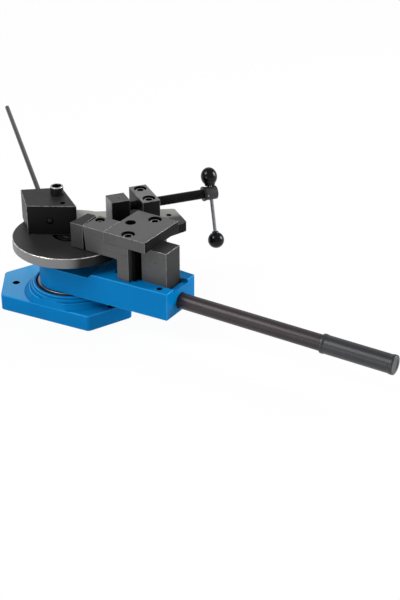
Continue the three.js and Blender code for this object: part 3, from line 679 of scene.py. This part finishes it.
def base_layers(*layers):
    return lofted([(base_outline(inset), height) for inset, height in layers])


def base_underside():
    """The hollow under the plate, as one solid to cut away."""
    hollow = milled(base_outline(BASE_WALL, 6), -1, BASE_ROOF)
    low, high = -2, BASE_ROOF + 2
    lean = math.degrees(math.atan2(HALF_WIDTH, HALF_FLAT))
    ribs = [placed(milled(rectangle(-200, 200, -HALF_RIB, HALF_RIB), low, high), at(*BASE_SHIFT) @ turn("Z", a))
            for a in (lean, 90, 180 - lean)]
    pads = [post(BOLT_PAD, low, high, x, y) for x, y in BOLT_HOLES]
    return carve(hollow, post(POST_PAD, low, high), *ribs, *pads)


BOSS_PROFILE = eased([
    (0, 20), (79.6, 20), (79.6, 26.9), (75.5, 27.6), (72.6, 29.4), (71, 32.2), (70.8, 35), (69.6, 36.2),
    (67.9, 35.8), (66.9, 35), (67, 38.8), (66.6, 40.8), (65.2, 41.5), (64.2, 40.6), (63.6, 40), (63.8, 43.4),
    (62.8, 45), (59.5, 45), (59.5, 36), (0, 36)], 0.7, 4, closed=False)
plate = slanted(base_layers((1, 0), (0, 1), (0, 25.3), (0.25, 26.2), (0.8, 26.75), (1.7, BASE_TOP)))
kept_boss = base_layers((0.2, 19), (0.2, 26), (1, 28.5), (2, 31), (3.5, 34), (5, 36), (5.2, 60))
# The rings' crests take the top slot, whose paler enamel is a painted highlight.
boss = assigned(turned(BOSS_PROFILE, 160), lambda face: TOP if (
    face.center.z > CREST_FROM * MM and 0.3 < face.normal.z < 0.95) else SURFACE)
boss = carve(boss, kept_boss, operation="INTERSECT")
base = carve(topped(plate), boss, operation="UNION")
base = carve(base, base_underside(), bore(POST_SEAT, 12, 50, sides=96))
base = carve(base, *[bore(BOLT_RADIUS, -1, BASE_TOP, x, y, edge=0.5) for x, y in BOLT_HOLES])
placed(base, turn("Z", BASE_TURN))
# The top and the crests take the painted sheen, the upward bevels the painted highlight, and the bolt holes the
# painted shade.
fitted(shaded(base), "base_casting", "bed", "blue_enamel", BLUE_ENAMEL, HIGHLIT_ENAMEL, HOLE_SHADE, SHEEN_ENAMEL)

# %% [markdown]
# ## Swing arm
#
# One casting makes the hub round the pivot, the tapered channel that the bending slide runs in, and the
# socket of the lever. It is milled from a plan outline, a round hub with two straight tangent sides, and
# everything else is cut away: the step over the hub, the channel, the lever's socket, and the cored
# underside. The long outer edges lie in the middle of the picture, so they get a real radius before the
# channel is cut.

# %% Swing arm casting
ARM_BOTTOM, HUB_TOP, ARM_TOP = 47, 86, 93
ARM_END, HUB_RADIUS, END_HALF = 210, 52, 39.5
LEVER_HEIGHT = 65.3
CHANNEL_START, CHANNEL_END = 100, 201
CHANNEL_NEAR, CHANNEL_FAR, CHANNEL_FLOOR = -21, 20, 81
ARM_WALL, ARM_END_WALL, CORE_TOP = 8, 11, 72
SOCKET_BOSS, SOCKET_RADIUS, SOCKET_START = 18.8, 12.8, 110
HUB_WALL, BUSH_SEAT = 32.3, 21.3
BLIND_HOLE = (190.5, -29.4)
LOCK_SCREW_X, GIB_SCREW_X = 180, (165, 185)


def arm_outline(inset=0, end_inset=0):
    radius, end, half = HUB_RADIUS - inset, ARM_END - end_inset, END_HALF - inset
    tangent = math.atan2(half, end) + math.acos(radius / math.hypot(end, half))
    arc = [tangent + (TAU - 2 * tangent) * i / 80 for i in range(81)]
    return [(end, -half), (end, half)] + [(radius * math.cos(a), radius * math.sin(a)) for a in arc]


def arm_underside():
    """The core, less what stays: the hub's wall, the boss round the socket and a rib across."""
    core = milled(arm_outline(ARM_WALL, ARM_END_WALL), ARM_BOTTOM - 1, CORE_TOP)
    low, high, past_end = 40, 90, ARM_END + 10
    socket = placed(post(SOCKET_BOSS, 0, past_end), at(z=LEVER_HEIGHT) @ turn("Y", 90))
    web = milled(rectangle(0, past_end, -SOCKET_BOSS, SOCKET_BOSS), LEVER_HEIGHT, high)
    rib = milled(rectangle(SOCKET_START - 7, SOCKET_START, -60, 60), low, high)
    return carve(core, post(HUB_WALL, low, high, sides=64), socket, web, rib)


over_hub = [(-220, HUB_TOP), (68, HUB_TOP), (74, ARM_TOP), (74, 100), (-220, 100)]
arm = carve(milled(arm_outline(), ARM_BOTTOM, ARM_TOP), sideways(over_hub, -100, 100))
broken(arm, 1.3, 3)
arm = carve(
    arm, arm_underside(), bore(BUSH_SEAT, 40, 90, sides=96),
    milled(rectangle(CHANNEL_START, CHANNEL_END, CHANNEL_NEAR, CHANNEL_FAR), CHANNEL_FLOOR, 100),
    milled(rectangle(CHANNEL_END - 1, ARM_END + 5, CHANNEL_NEAR, CHANNEL_FAR), ARM_TOP - 5, 100),
    bore_x(SOCKET_RADIUS, SOCKET_START, ARM_END, 0, LEVER_HEIGHT, 64, 0.6),
    bore(4, 75, ARM_TOP, *BLIND_HOLE, edge=0.5), bore(4.3, 40, LEVER_HEIGHT, LOCK_SCREW_X, 0),
    *[bore_y(3.3, CHANNEL_FAR - 1, 60, x, CHANNEL_FLOOR + 6) for x in GIB_SCREW_X])
# The bevels take the painted highlight and the holes the painted shade.
fitted(shaded(arm), "swing_arm_casting", "swing_arm", "blue_enamel", BLUE_ENAMEL, HIGHLIT_ENAMEL, HOLE_SHADE,
       name="swing_arm_fine")

# %% [markdown]
# ## Table
#
# The table is a turned disc whose tail carries the vice. On the real machine the two are one plate, so
# the disc and the tail are joined before the shallow recess for the king nut is cut. The thin bright
# line round its rim is a small bevel with a painted highlight. The top is painted pale toward the tail,
# a painted light, and the side wall pale on the left and dark on the right as the camera sees it, a painted
# reflection and shade. The tail's sides and the holes are painted near black, a painted shade.

# %% Table
TABLE_RADIUS, NUT_RECESS, POST_BORE = 92, 28, 14.3
TAIL_SIDE, TAIL_FLAT, TAIL_END = 72, 45, 28
TAIL_HOLE = (171, 7)
table_low, table_high = span("table", VICE_TURN)
disc = slanted(turned([
    (0, table_low.z), (TABLE_RADIUS - 1, table_low.z), (TABLE_RADIUS, table_low.z + 1),
    (TABLE_RADIUS, TABLE_TOP - 0.9), (TABLE_RADIUS - 0.4, TABLE_TOP - 0.3), (TABLE_RADIUS - 1.1, TABLE_TOP),
    (0, TABLE_TOP)], 180))
tail_plan = [
    (0, -TAIL_SIDE), (TAIL_FLAT, -TAIL_SIDE), (table_high.x, -TAIL_END), (table_high.x, TAIL_END),
    (TAIL_FLAT, TAIL_SIDE), (0, TAIL_SIDE)]
tail = broken(milled(eased(tail_plan, 4, 5), table_low.z, TABLE_TOP), 1)
# The tail's top takes the top slot, and its sides and bottom take the near-black slot, a painted shade.
assigned(tail, lambda face: TOP if face.normal.z > 0.1 else INSIDE)
table = topped(carve(disc, tail, operation="UNION"))
table = carve(
    table, bore(POST_BORE, 100, 130, sides=64), bore(NUT_RECESS, TABLE_TOP - 9, TABLE_TOP, sides=96, edge=0.5),
    bore(4, 100, TABLE_TOP, *TAIL_HOLE, edge=0.5))
placed(table, turn("Z", VICE_TURN))
fitted(shaded(table), "table", "bed", "table_steel", TABLE_SIDE, TABLE_EDGE, SHADE_STEEL, TABLE_STEEL)

# %% [markdown]
# ## Turned rings, rods and the grip
#
# The rings, the lever and its grip take their lengths from the CAD nodes that they stand for. Each piece
# gets a finer circle, a small radius at its ends and smooth shading that stops at sharp corners.

# %% Turned pieces


def fitted_ring(node, inner, ease, body, slot, material):
    low, high = span(node)
    outer = (high.x - low.x) / 2
    corners = [(inner, low.z), (outer, low.z), (outer, high.z), (inner, high.z)]
    return fitted(smooth(ring(corners, ease)), node, body, slot, material)


fitted_ring("thrust_ring", 46, 0.8, "bed", "bright_steel", BRIGHT_STEEL)
fitted_ring("table_hub", POST_BORE, 1.2, "bed", "dark_steel", GROUND_STEEL)
fitted_ring("hub_washer", POST_SEAT, 0.4, "swing_arm", "bright_steel", BRIGHT_STEEL)
fitted_ring("king_washer", POST_BORE, 0.4, "bed", "dark_steel", BLACK_STEEL)


def round_bar(radius, start, end, ease, sides=64):
    profile = [(0, start), (radius, start), (radius, end), (0, end)]
    return turned(eased(profile, ease, 4, closed=False), sides)


LEVER_RADIUS, GRIP_RADIUS, GRIP_WAIST = 12.5, 15, 14.3
lever_low, lever_high = span("lever_rod")
lever = placed(round_bar(LEVER_RADIUS, lever_low.x, lever_high.x, 1.5), at(z=LEVER_HEIGHT) @ turn("Y", 90))
fitted(smooth(lever), "lever_rod", "swing_arm", "lever_steel", LEVER_STEEL)

grip_low, grip_high = span("lever_grip")
grip_profile = [
    (LEVER_RADIUS + 0.4, grip_low.x), (GRIP_RADIUS, grip_low.x), (GRIP_RADIUS, grip_low.x + 5),
    (GRIP_WAIST, grip_low.x + 6.5), (GRIP_WAIST, grip_high.x - 7.5), (GRIP_RADIUS, grip_high.x - 6),
    (GRIP_RADIUS, grip_high.x), (9, grip_high.x), (8.2, grip_high.x - 0.8), (0, grip_high.x - 0.8)]
inner = [
    (0, lever_high.x + CLEAR), (LEVER_RADIUS + CLEAR, lever_high.x + CLEAR), (LEVER_RADIUS + CLEAR, grip_low.x)]
grip = turned(inner + eased(grip_profile, 1.6, 5, closed=False), 64)
placed(grip, at(z=LEVER_HEIGHT) @ turn("Y", 90))
fitted(smooth(grip, 50), "lever_grip", "swing_arm", "grip_rubber", GRIP_RUBBER)

STOP_TURN = 136.8
STOP_MOUTH = (-23.7, -19.3, 150)
STOP_RADIUS, STOP_START, STOP_END = 4, 0.4, 535.4
stop_frame = at(*STOP_MOUTH) @ turn("Z", STOP_TURN)
rod = placed(round_bar(STOP_RADIUS, STOP_START, STOP_END, 1.2, 40), stop_frame @ turn("Y", 90))
fitted(smooth(rod), "stop_rod", "stop", "bright_steel", DARK_ROD_STEEL)

# %% [markdown]
# ## King nut
#
# A round nut with four slots for a hook spanner holds the table on the post. It lies deep in the recess,
# where only its rim catches the light.

# %% King nut
NUT_RADIUS, HALF_SLOT = 22, 2.5
nut_low, nut_high = span("king_nut")
king_nut = ring([(POST_BORE, nut_low.z), (NUT_RADIUS, nut_low.z), (NUT_RADIUS, nut_high.z),
                 (POST_BORE, nut_high.z)], 0.7)
slot_plan = rectangle(NUT_RADIUS - 3, NUT_RADIUS + 3, -HALF_SLOT, HALF_SLOT)
slots = [placed(milled(slot_plan, nut_low.z - 1, nut_high.z + 1), turn("Z", 45 + 90 * i)) for i in range(4)]
fitted(smooth(carve(king_nut, *slots)), "king_nut", "bed", "dark_steel", BLACK_STEEL)

# %% [markdown]
# ## Socket cap screws
#
# Six of these show. A cap screw has a knurled head with a broken top edge and a hexagon socket. The
# knurl is made by moving every other point of the head's wall in by a hair, and it catches the light as
# fine vertical lines.

# %% Cap screws
RIDGES, KNURL_DEPTH, SCREW_ANGLE = 48, 0.25, 20
M14 = (10.5, 14, 7, 14.5)  # head radius, head height, shank radius, width of the socket across its flats
M10 = (8, 9, 5, 10.5)
M8 = (6.5, 6, 4, 6)


def hexagon(across_flats):
    radius = across_flats / math.sqrt(3)
    return [(radius * math.cos(TAU * i / 6), radius * math.sin(TAU * i / 6)) for i in range(6)]


def cap_screw(node, size, body, sunk=0):
    """One screw in place of its CAD node, with its head `sunk` lower than the node's."""
    head, height, shank, flats = size
    low, high = span(node)
    middle = (low + high) / 2
    high.z -= sunk
    neck = high.z - height
    profile = [
        (0, low.z), (shank - 0.6, low.z), (shank, low.z + 0.6), (shank, neck), (head - 0.4, neck),
        (head, neck + 0.5), (head, high.z - 1.1), (head - 0.3, high.z - 0.5), (head - 0.8, high.z), (0, high.z)]
    screw = topped(slanted(turned(profile, 2 * RIDGES)))
    wall = [v for v in screw.data.vertices if math.hypot(v.co.x, v.co.y) > (head - 0.05) * MM]
    for vertex in wall:
        step = round(math.atan2(vertex.co.y, vertex.co.x) / TAU * 2 * RIDGES)
        if step % 2:
            vertex.co.x *= 1 - KNURL_DEPTH / head
            vertex.co.y *= 1 - KNURL_DEPTH / head
    # The socket is painted near black, a painted shade.
    socket = milled(hexagon(flats), high.z - height * 0.55, high.z + 1)
    carve(screw, assigned(socket, lambda face: INSIDE))
    placed(screw, at(middle.x, middle.y) @ turn("Z", SCREW_ANGLE))
    # The head's top takes a lighter copy of the steel, a painted light, and its top edge a painted highlight.
    return fitted(shaded(screw, 32), node, body, "screw_steel", SCREW_STEEL, SCREW_RIM, HOLE_SHADE, SCREW_LIT_TOP)


cap_screw("anvil_cap_screw", M14, "bed")
cap_screw("nut_block_screw_1", M10, "bed", 2)
cap_screw("nut_block_screw_2", M10, "bed", 2)
cap_screw("top_plate_screw_front", M10, "bending_slide", 2.5)
cap_screw("top_plate_screw_rear", M10, "bending_slide", 2.5)
cap_screw("tip_clamp_screw", M8, "bending_slide", 3)

# %% [markdown]
# ## Clamp block
#
# The clamp block is a four-sided plan with one long slanting face, which the work is bent round. The stop
# rod's bore enters its left face, and its mouth is opened out and painted near black, a dark ring of painted
# shade.

# %% Clamp block
VICE = turn("Z", VICE_TURN)
anvil_low, anvil_high = span("anvil_block", VICE_TURN)
ANVIL_PLAN = [(-63.3, 20.8), (9.8, -10.7), (9.8, 70.7), (-54.7, 86.7)]
SET_SCREW, ANVIL_SCREW = (-6.8, 10.3), (-5, 47.4)


def in_stop_frame(piece):
    return placed(piece, turn("Z", -VICE_TURN) @ stop_frame @ turn("Y", 90))


anvil = topped(broken(milled(ANVIL_PLAN, anvil_low.z, anvil_high.z), 0.9))
anvil = carve(
    anvil, bore(4, anvil_high.z - 20, anvil_high.z, *SET_SCREW, edge=0.4),
    bore(7 + CLEAR, 100, 190, *ANVIL_SCREW), in_stop_frame(bore(STOP_RADIUS + CLEAR, -60, 120)),
    in_stop_frame(bore(5.6, -60, 3)))
placed(anvil, VICE)
# The top takes a lighter copy of the black steel, a painted light, and the bevels a painted highlight.
fitted(shaded(anvil), "anvil_block", "bed", "black_steel", BLACK_STEEL, BLACK_EDGE, HOLE_SHADE, ANVIL_LIT_TOP)

# %% [markdown]
# ## Vice: nut block and jaw
#
# The nut block is bolted to the tail by two sunk cap screws and carries the thread of the vice screw. The
# jaw slides on the table in front of it. Both are plain blackened blocks with grainy tops, and the tops
# take a lighter copy of the steel, a painted light. The jaw's clamp face is ground bright, and its pale
# colour also paints in the white it reflects, a painted reflection.

# %% Nut block and jaw
SCREW_AXIS = TABLE_TOP + 31
CLAMP_SIDE = (-1, 0, 0)
nut_block_low, nut_block_high = span("nut_block", VICE_TURN)
jaw_low, jaw_high = span("moving_jaw", VICE_TURN)


def upright(low, high):
    return milled(rectangle(low.x, high.x, low.y, high.y), low.z, high.z)


nut_block = carve(
    topped(broken(upright(nut_block_low, nut_block_high), 0.9)), bore_x(8.3, 90, 160, 0, SCREW_AXIS, 64),
    *[tool for y in (-20.5, 20.5) for tool in sunk_hole((127, y), nut_block_high.z, 10, 11, 5.3, 100)])
placed(nut_block, VICE)
# The top takes its grainy steel in a lighter tone, a painted light.
fitted(shaded(nut_block), "nut_block", "bed", "black_steel", BLACK_STEEL, BLACK_EDGE, HOLE_SHADE, NUT_LIT_TOP)

# The clamp face takes the ground bright steel, whose pale colour is partly a painted reflection.
jaw = topped(topped(broken(upright(jaw_low, jaw_high), 0.9)), CLAMP_SIDE, INSIDE)
jaw = carve(jaw, bore_x(6.3, jaw_high.x - 18.3, 120, 0, SCREW_AXIS),
            bore(2.3, SCREW_AXIS, jaw_high.z, 84, 0, 24, 0.3))
placed(jaw, VICE)
# The top takes its grainy steel in a lighter tone, a painted light.
fitted(shaded(jaw), "moving_jaw", "jaw", "black_steel", BLACK_STEEL, BLACK_EDGE, JAW_FACE, JAW_LIT_TOP)

# %% [markdown]
# ## Vice screw
#
# The screw's thread is a real helix of 2 mm pitch, the same pitch as the joint that couples the jaw to
# the screw. Four helical rails, root, crest, crest and root, are laid round the axis and joined with
# faces. Plain turned ends cover the two places where the thread runs out.

# %% Vice screw
PITCH = 2.0
THREAD_SIDES = 24
COLLAR_START, COLLAR_END, COLLAR_RADIUS = 227.8, 231, 12.2
SCREW_END = span("vice_screw", VICE_TURN)[1].x


def thread(root, crest, start, end):
    """A right-handed thread along X, as one open sheet of four rails."""
    rails = [(root, 0.0), (crest, 0.38), (crest, 0.55), (root, 0.93)]
    count = int((end - start) / PITCH * THREAD_SIDES)
    vertices, faces = [], []
    for i in range(count + 1):
        angle = TAU * i / THREAD_SIDES
        for radius, share in rails:
            x = start + PITCH * (i / THREAD_SIDES + share)
            vertices.append((x, radius * math.cos(angle), radius * math.sin(angle)))
    for i in range(count):
        here, after = 4 * i, 4 * (i + 1)
        faces += [(here + k, here + k + 1, after + k + 1, after + k) for k in range(3)]
        if i + THREAD_SIDES < count:
            next_turn = here + 4 * THREAD_SIDES
            faces.append((here + 3, next_turn, next_turn + 4, after + 3))
    return mesh_piece(vertices, faces)


def united(*parts):
    """Several meshes gathered into one piece without cutting them."""
    work = bmesh.new()
    for part in parts:
        work.from_mesh(part.data)
    bmesh.ops.recalc_face_normals(work, faces=work.faces)
    mesh = slotted(bpy.data.meshes.new("tool"))
    work.to_mesh(mesh)
    work.free()
    for part in parts:
        bpy.data.objects.remove(part)
    return new_piece(mesh)


# The two plain ends, as pairs of a radius and a distance from the pivot
nose = turned([(0, 79), (5.4, 79), (6, 79.6), (6, 81.7), (4.4, 81.7), (4.4, 86.3), (6, 86.3), (6, 97.3),
               (7.2, 97.3), (7.9, 98.2), (7.9, 101), (6.6, 101.6), (6.6, 102.5), (0, 102.5)], 48)
shaft = turned([(0, 225), (6.6, 225), (6.6, COLLAR_START), (8, COLLAR_START + 0.1), (8, SCREW_END - 1),
                (7, SCREW_END), (0, SCREW_END)], 48)
vice_axis = VICE @ at(z=SCREW_AXIS)
vice_screw = united(placed(nose, turn("Y", 90)), placed(shaft, turn("Y", 90)), thread(6.7, 7.95, 99, 229.5))
placed(vice_screw, vice_axis)
fitted(smooth(vice_screw, 40), "vice_screw", "clamp_screw", "screw_steel", SCREW_STEEL)

# %% [markdown]
# ## Hub, collar and the sliding bar
#
# A pinned hub on the end of the screw holds a sliding bar with a ball knob at each end. The bar leans,
# as the photo shows, and slides through the hub until a knob stops it. The ball knobs are turned profiles
# with a short neck, and the upper one is slightly oval.

# %% Hub and collar
PIN_HUB_START, PIN_HUB_END, PIN_HUB_RADIUS, PIN_HUB_BORE = 231.3, 252, 11.2, 8.3
PIN_AT = 234.4
TEE_AT, TEE_LEAN = 242.3, 17.6
tee_frame = vice_axis @ at(TEE_AT) @ turn("X", -TEE_LEAN)

hub_profile = eased([
    (PIN_HUB_BORE, PIN_HUB_START), (PIN_HUB_RADIUS, PIN_HUB_START), (PIN_HUB_RADIUS, PIN_HUB_END),
    (0, PIN_HUB_END)], 1.6, 5, closed=False)
bore_end = SCREW_END + CLEAR
hub = turned([(0, bore_end), (PIN_HUB_BORE, bore_end)] + hub_profile, 72)
placed(hub, vice_axis @ turn("Y", 90))
tee_hole = placed(bore(3.3, -30, 30), tee_frame)
pin_hole = placed(bore(2.3, -30, 30, sides=32), vice_axis @ at(PIN_AT) @ turn("X", -90))
carve(hub, tee_hole, pin_hole)
fitted(smooth(hub), "screw_hub", "clamp_screw", "screw_steel", HUB_STEEL)

collar = ring([(PIN_HUB_BORE, COLLAR_START), (COLLAR_RADIUS, COLLAR_START), (COLLAR_RADIUS, COLLAR_END),
               (PIN_HUB_BORE, COLLAR_END)], 0.6, 72)
placed(collar, vice_axis @ turn("Y", 90))
fitted(smooth(collar), "screw_collar", "clamp_screw", "screw_steel", SCREW_STEEL)

# %% Bar and ball knobs
TEE_DOWN, TEE_UP, TEE_RADIUS = 79, 27, 3
KNOB_RADIUS, NECK_END, KNOB_BORE = 13.5, 15, 3.1

bar = placed(round_bar(TEE_RADIUS, -TEE_DOWN - 3, TEE_UP + 3, 0.5, 40), tee_frame)
fitted(smooth(bar), "tee_bar", "tee_handle", "bright_steel", BAR_STEEL)


def ball_knob(stretch, neck):
    """A ball about z = 0, with a short moulded neck below it."""
    start = math.asin(neck / KNOB_RADIUS)
    arc = [math.pi - start - (math.pi - start) * i / 28 for i in range(28)]
    ball = [(KNOB_RADIUS * math.sin(a), stretch * KNOB_RADIUS * math.cos(a)) for a in arc]
    foot = [(KNOB_BORE, -NECK_END), (neck - 1.4, -NECK_END), (neck - 0.4, -NECK_END + 0.8)]
    seat = 3.3 - NECK_END
    return turned([(0, seat), (KNOB_BORE, seat)] + foot + ball + [(0, stretch * KNOB_RADIUS)], 56)


lower = placed(ball_knob(1, 5.6), tee_frame @ at(z=-TEE_DOWN) @ turn("X", 180))
fitted(smooth(lower, 50), "lower_knob", "tee_handle", "black_plastic", KNOB_PLASTIC)
upper = placed(ball_knob(1.13, 9), tee_frame @ at(z=TEE_UP))
fitted(smooth(upper, 50), "upper_knob", "tee_handle", "black_plastic", KNOB_PLASTIC)

# %% [markdown]
# ## Bending finger and its plate
#
# The finger bar is an L: a long nose over the table and a leg that runs in the arm's channel. Its tip is
# a separate hardened wedge. A thick plate bolted across the bar and the carrier behind it ties the two
# together, and their fine ground lines all run along the arm.

# %% Finger bar, tip, plate and blocks
PLATE_TOP = span("top_plate")[1].z
BAR_TOP = span("slide_carrier")[1].z
BAR_BOTTOM = span("tip_insert")[0].z
SLIDE_NEAR, SLIDE_SEAM, SLIDE_FAR = -37.5, 7, 56
LEG_START, LEG_END, CARRIER_END, PLATE_START, PLATE_END = 118, 139, 148, 94, 170
ARM_SEAT = ARM_TOP + CLEAR
TONGUE_NEAR, TONGUE_LOW, TONGUE_HIGH = CHANNEL_NEAR + CLEAR, CHANNEL_FLOOR + 2 * CLEAR, 98
TIP_SCREW, PLATE_HOLE, PLATE_SCREWS = (64.9, -5.6), (110.2, 12.1), ((131, -24.4), (136, 41.4))
RIGHT = (1, 0, 0)
# Its edge material paints a highlight and its hole material a painted shade.
GROUND_PAINT = ("dark_steel", GROUND_STEEL, GROUND_EDGE, HOLE_SHADE)


def with_tongue(block, start, end, near, far, low=TONGUE_LOW):
    """Joins a block to the tongue below it, which reaches down into the arm's channel."""
    return carve(block, milled(rectangle(start, end, near, far), low, TONGUE_HIGH), operation="UNION")


step = PLATE_START - CLEAR
bar_side = [
    (59.5, BAR_BOTTOM), (LEG_START, BAR_BOTTOM), (LEG_START, ARM_SEAT), (LEG_END, ARM_SEAT),
    (LEG_END, BAR_TOP), (step, BAR_TOP), (step, PLATE_TOP), (54.5, PLATE_TOP)]
finger = flush(broken(sideways(bar_side, SLIDE_NEAR, SLIDE_SEAM), 0.5), BAR_TOP)
finger = with_tongue(finger, LEG_START + 0.7, LEG_END - 0.7, TONGUE_NEAR, SLIDE_SEAM - 0.7)
carve(finger, *sunk_hole(TIP_SCREW, PLATE_TOP, 7.5, 9, 4.3, 135))
fitted(shaded(finger), "finger_bar", "bending_slide", *GROUND_PAINT)

tip_plan = [(31, SLIDE_NEAR), (54.2, SLIDE_NEAR), (49.8, 5), (33.6, 5)]
tip = broken(milled(tip_plan, BAR_BOTTOM, PLATE_TOP), 0.5)
fitted(shaded(topped(tip)), "tip_insert", "bending_slide", "dark_steel", TIP_STEEL, GROUND_EDGE, HOLE_SHADE,
       TIP_TOP_STEEL)

carrier_plan = rectangle(LEG_START, CARRIER_END, SLIDE_SEAM + CLEAR, SLIDE_FAR)
carrier = broken(milled(carrier_plan, ARM_SEAT, BAR_TOP), 0.5)
carrier = with_tongue(carrier, LEG_START + 1, CARRIER_END - 1, SLIDE_SEAM + 1, 17.3)
fitted(shaded(carrier), "slide_carrier", "bending_slide", *GROUND_PAINT)

plate_bottom = PLATE_TOP - 18
plate_plan = rectangle(PLATE_START, PLATE_END, SLIDE_NEAR, SLIDE_FAR)
plate = broken(milled(plate_plan, plate_bottom, PLATE_TOP), 0.5)
plate = carve(
    flush(plate, plate_bottom), bore(8, 140, PLATE_TOP, *PLATE_HOLE, edge=0.5),
    *[tool for place in PLATE_SCREWS for tool in sunk_hole(place, PLATE_TOP, 10.3, 11, 5.3, 140)])
# The plate's right end is painted near black, a painted shade.
fitted(shaded(topped(plate, RIGHT)), "top_plate", "bending_slide", *GROUND_PAINT, SHADE_STEEL)

support = broken(upright(*span("support_block")), 0.6)
# The top and the right face take a darker steel: a painted shadow under the plate and painted shade on the
# right.
fitted(shaded(topped(topped(support), RIGHT)), "support_block", "swing_arm", *GROUND_PAINT, SHADED_GROUND_STEEL)

spacer_low, spacer_high = span("spacer_plate")
spacer_side = rectangle(spacer_low.x, spacer_high.x, ARM_SEAT, spacer_high.z)
spacer = broken(sideways(spacer_side, spacer_low.y, spacer_high.y), 0.4, 1)
spacer = with_tongue(spacer, spacer_low.x + 0.4, spacer_high.x - 0.4, TONGUE_NEAR, 5.6, spacer_low.z)
# The spacer is painted near black all over, a painted shade for the gap it stands in.
fitted(shaded(spacer), "spacer_plate", "swing_arm", "dark_steel", HOLE_SHADE)

# %% [markdown]
# ## Pieces whose CAD shape is right
#
# What hardly shows, such as set screws, the bush and the gib, keeps its CAD mesh and only gets a finish.

# %% Paint the rest
KEPT = {
    "king_post": BLACK_STEEL, "hub_bush": BRONZE, "channel_gib": GROUND_STEEL, "hub_pin": BRIGHT_STEEL,
    "anvil_set_screw": SCREW_STEEL, "stop_lock_screw": SCREW_STEEL, "lever_lock_screw": SCREW_STEEL,
    "gib_screw_1": SCREW_STEEL, "gib_screw_2": SCREW_STEEL, "jaw_retaining_screw": SCREW_STEEL,
}
for node, material in KEPT.items():
    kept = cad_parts[node]
    kept.data.materials.clear()
    kept.data.materials.append(material)
print(len(KEPT), "CAD nodes kept")

# %% [markdown]
# ## Floor and light
#
# The photo is a catalogue picture on white. A soft lamp from the upper left models the shapes, one from
# the far right lights the faces that it misses, two weak ones in front and behind lift the shadows, and a
# pale world does the rest. The floor turns almost white for the camera and for reflections through Light
# Path, and it keeps the soft shadow.

# %% Floor
FLOOR_HALF, FLOOR_GLOW = 9000, 0.94


def seen_directly(finish):
    """1 for camera, mirror and glass rays, and 0 for the light that falls on the machine."""
    path = [finish.node("LightPath", output=name)
            for name in ("Is Camera Ray", "Is Glossy Ray", "Is Transmission Ray")]
    return path[0] + path[1] + path[2]


floor_finish = Finish("pale_floor")
floor_finish.set(Base_Color=(0.8, 0.8, 0.8), Roughness=0.9)
white = floor_finish.node("Emission", None, {"Color": (1, 1, 1), "Strength": 1.0})
blend = floor_finish.node("MixShader", None, {
    0: seen_directly(floor_finish) * FLOOR_GLOW, 1: Socket(floor_finish, floor_finish.surface.outputs[0]),
    2: white})
floor_finish.feed(floor_finish.tree.nodes["Material Output"].inputs["Surface"], blend)
floor = milled(rectangle(-FLOOR_HALF, FLOOR_HALF, -FLOOR_HALF, FLOOR_HALF), -2, -0.2)
floor.name = floor.data.name = "floor"
floor.data.materials[SURFACE] = floor_finish.material

# %% World and lamps
world = bpy.data.worlds.new("pale room")
scene.world = world
world.use_nodes = True
nodes, links = world.node_tree.nodes, world.node_tree.links
room = nodes["Background"]
room.inputs["Color"].default_value = (1, 1, 1, 1)
room.inputs["Strength"].default_value = 0.5
backdrop = nodes.new("ShaderNodeBackground")
backdrop.inputs["Color"].default_value = (1, 1, 1, 1)
choice = nodes.new("ShaderNodeMixShader")
path = nodes.new("ShaderNodeLightPath")
links.new(path.outputs["Is Camera Ray"], choice.inputs[0])
links.new(room.outputs[0], choice.inputs[1])
links.new(backdrop.outputs[0], choice.inputs[2])
links.new(choice.outputs[0], nodes["World Output"].inputs["Surface"])


def lamp(name, place, aim, size, power):
    data = bpy.data.lights.new(name, "AREA")
    data.shape = "DISK"
    data.size = size
    data.energy = power
    light = bpy.data.objects.new(name, data)
    scene.collection.objects.link(light)
    light.location = place
    light.rotation_euler = (Vector(aim) - Vector(place)).to_track_quat("-Z", "Y").to_euler()


lamp("soft key", (-0.9, -1.3, 1.9), (0.05, 0, 0.1), 1.3, 37)
lamp("low front fill", (-0.1, -2.0, 0.3), (0.05, 0, 0.07), 1.0, 7)
lamp("low back", (-1.0, 1.6, 1.1), (0.05, 0, 0.1), 1.6, 4)
lamp("right fill", (1.6, 1.3, 0.9), (0.1, 0, 0.1), 1.2, 44)
print("lamps and floor are in place")
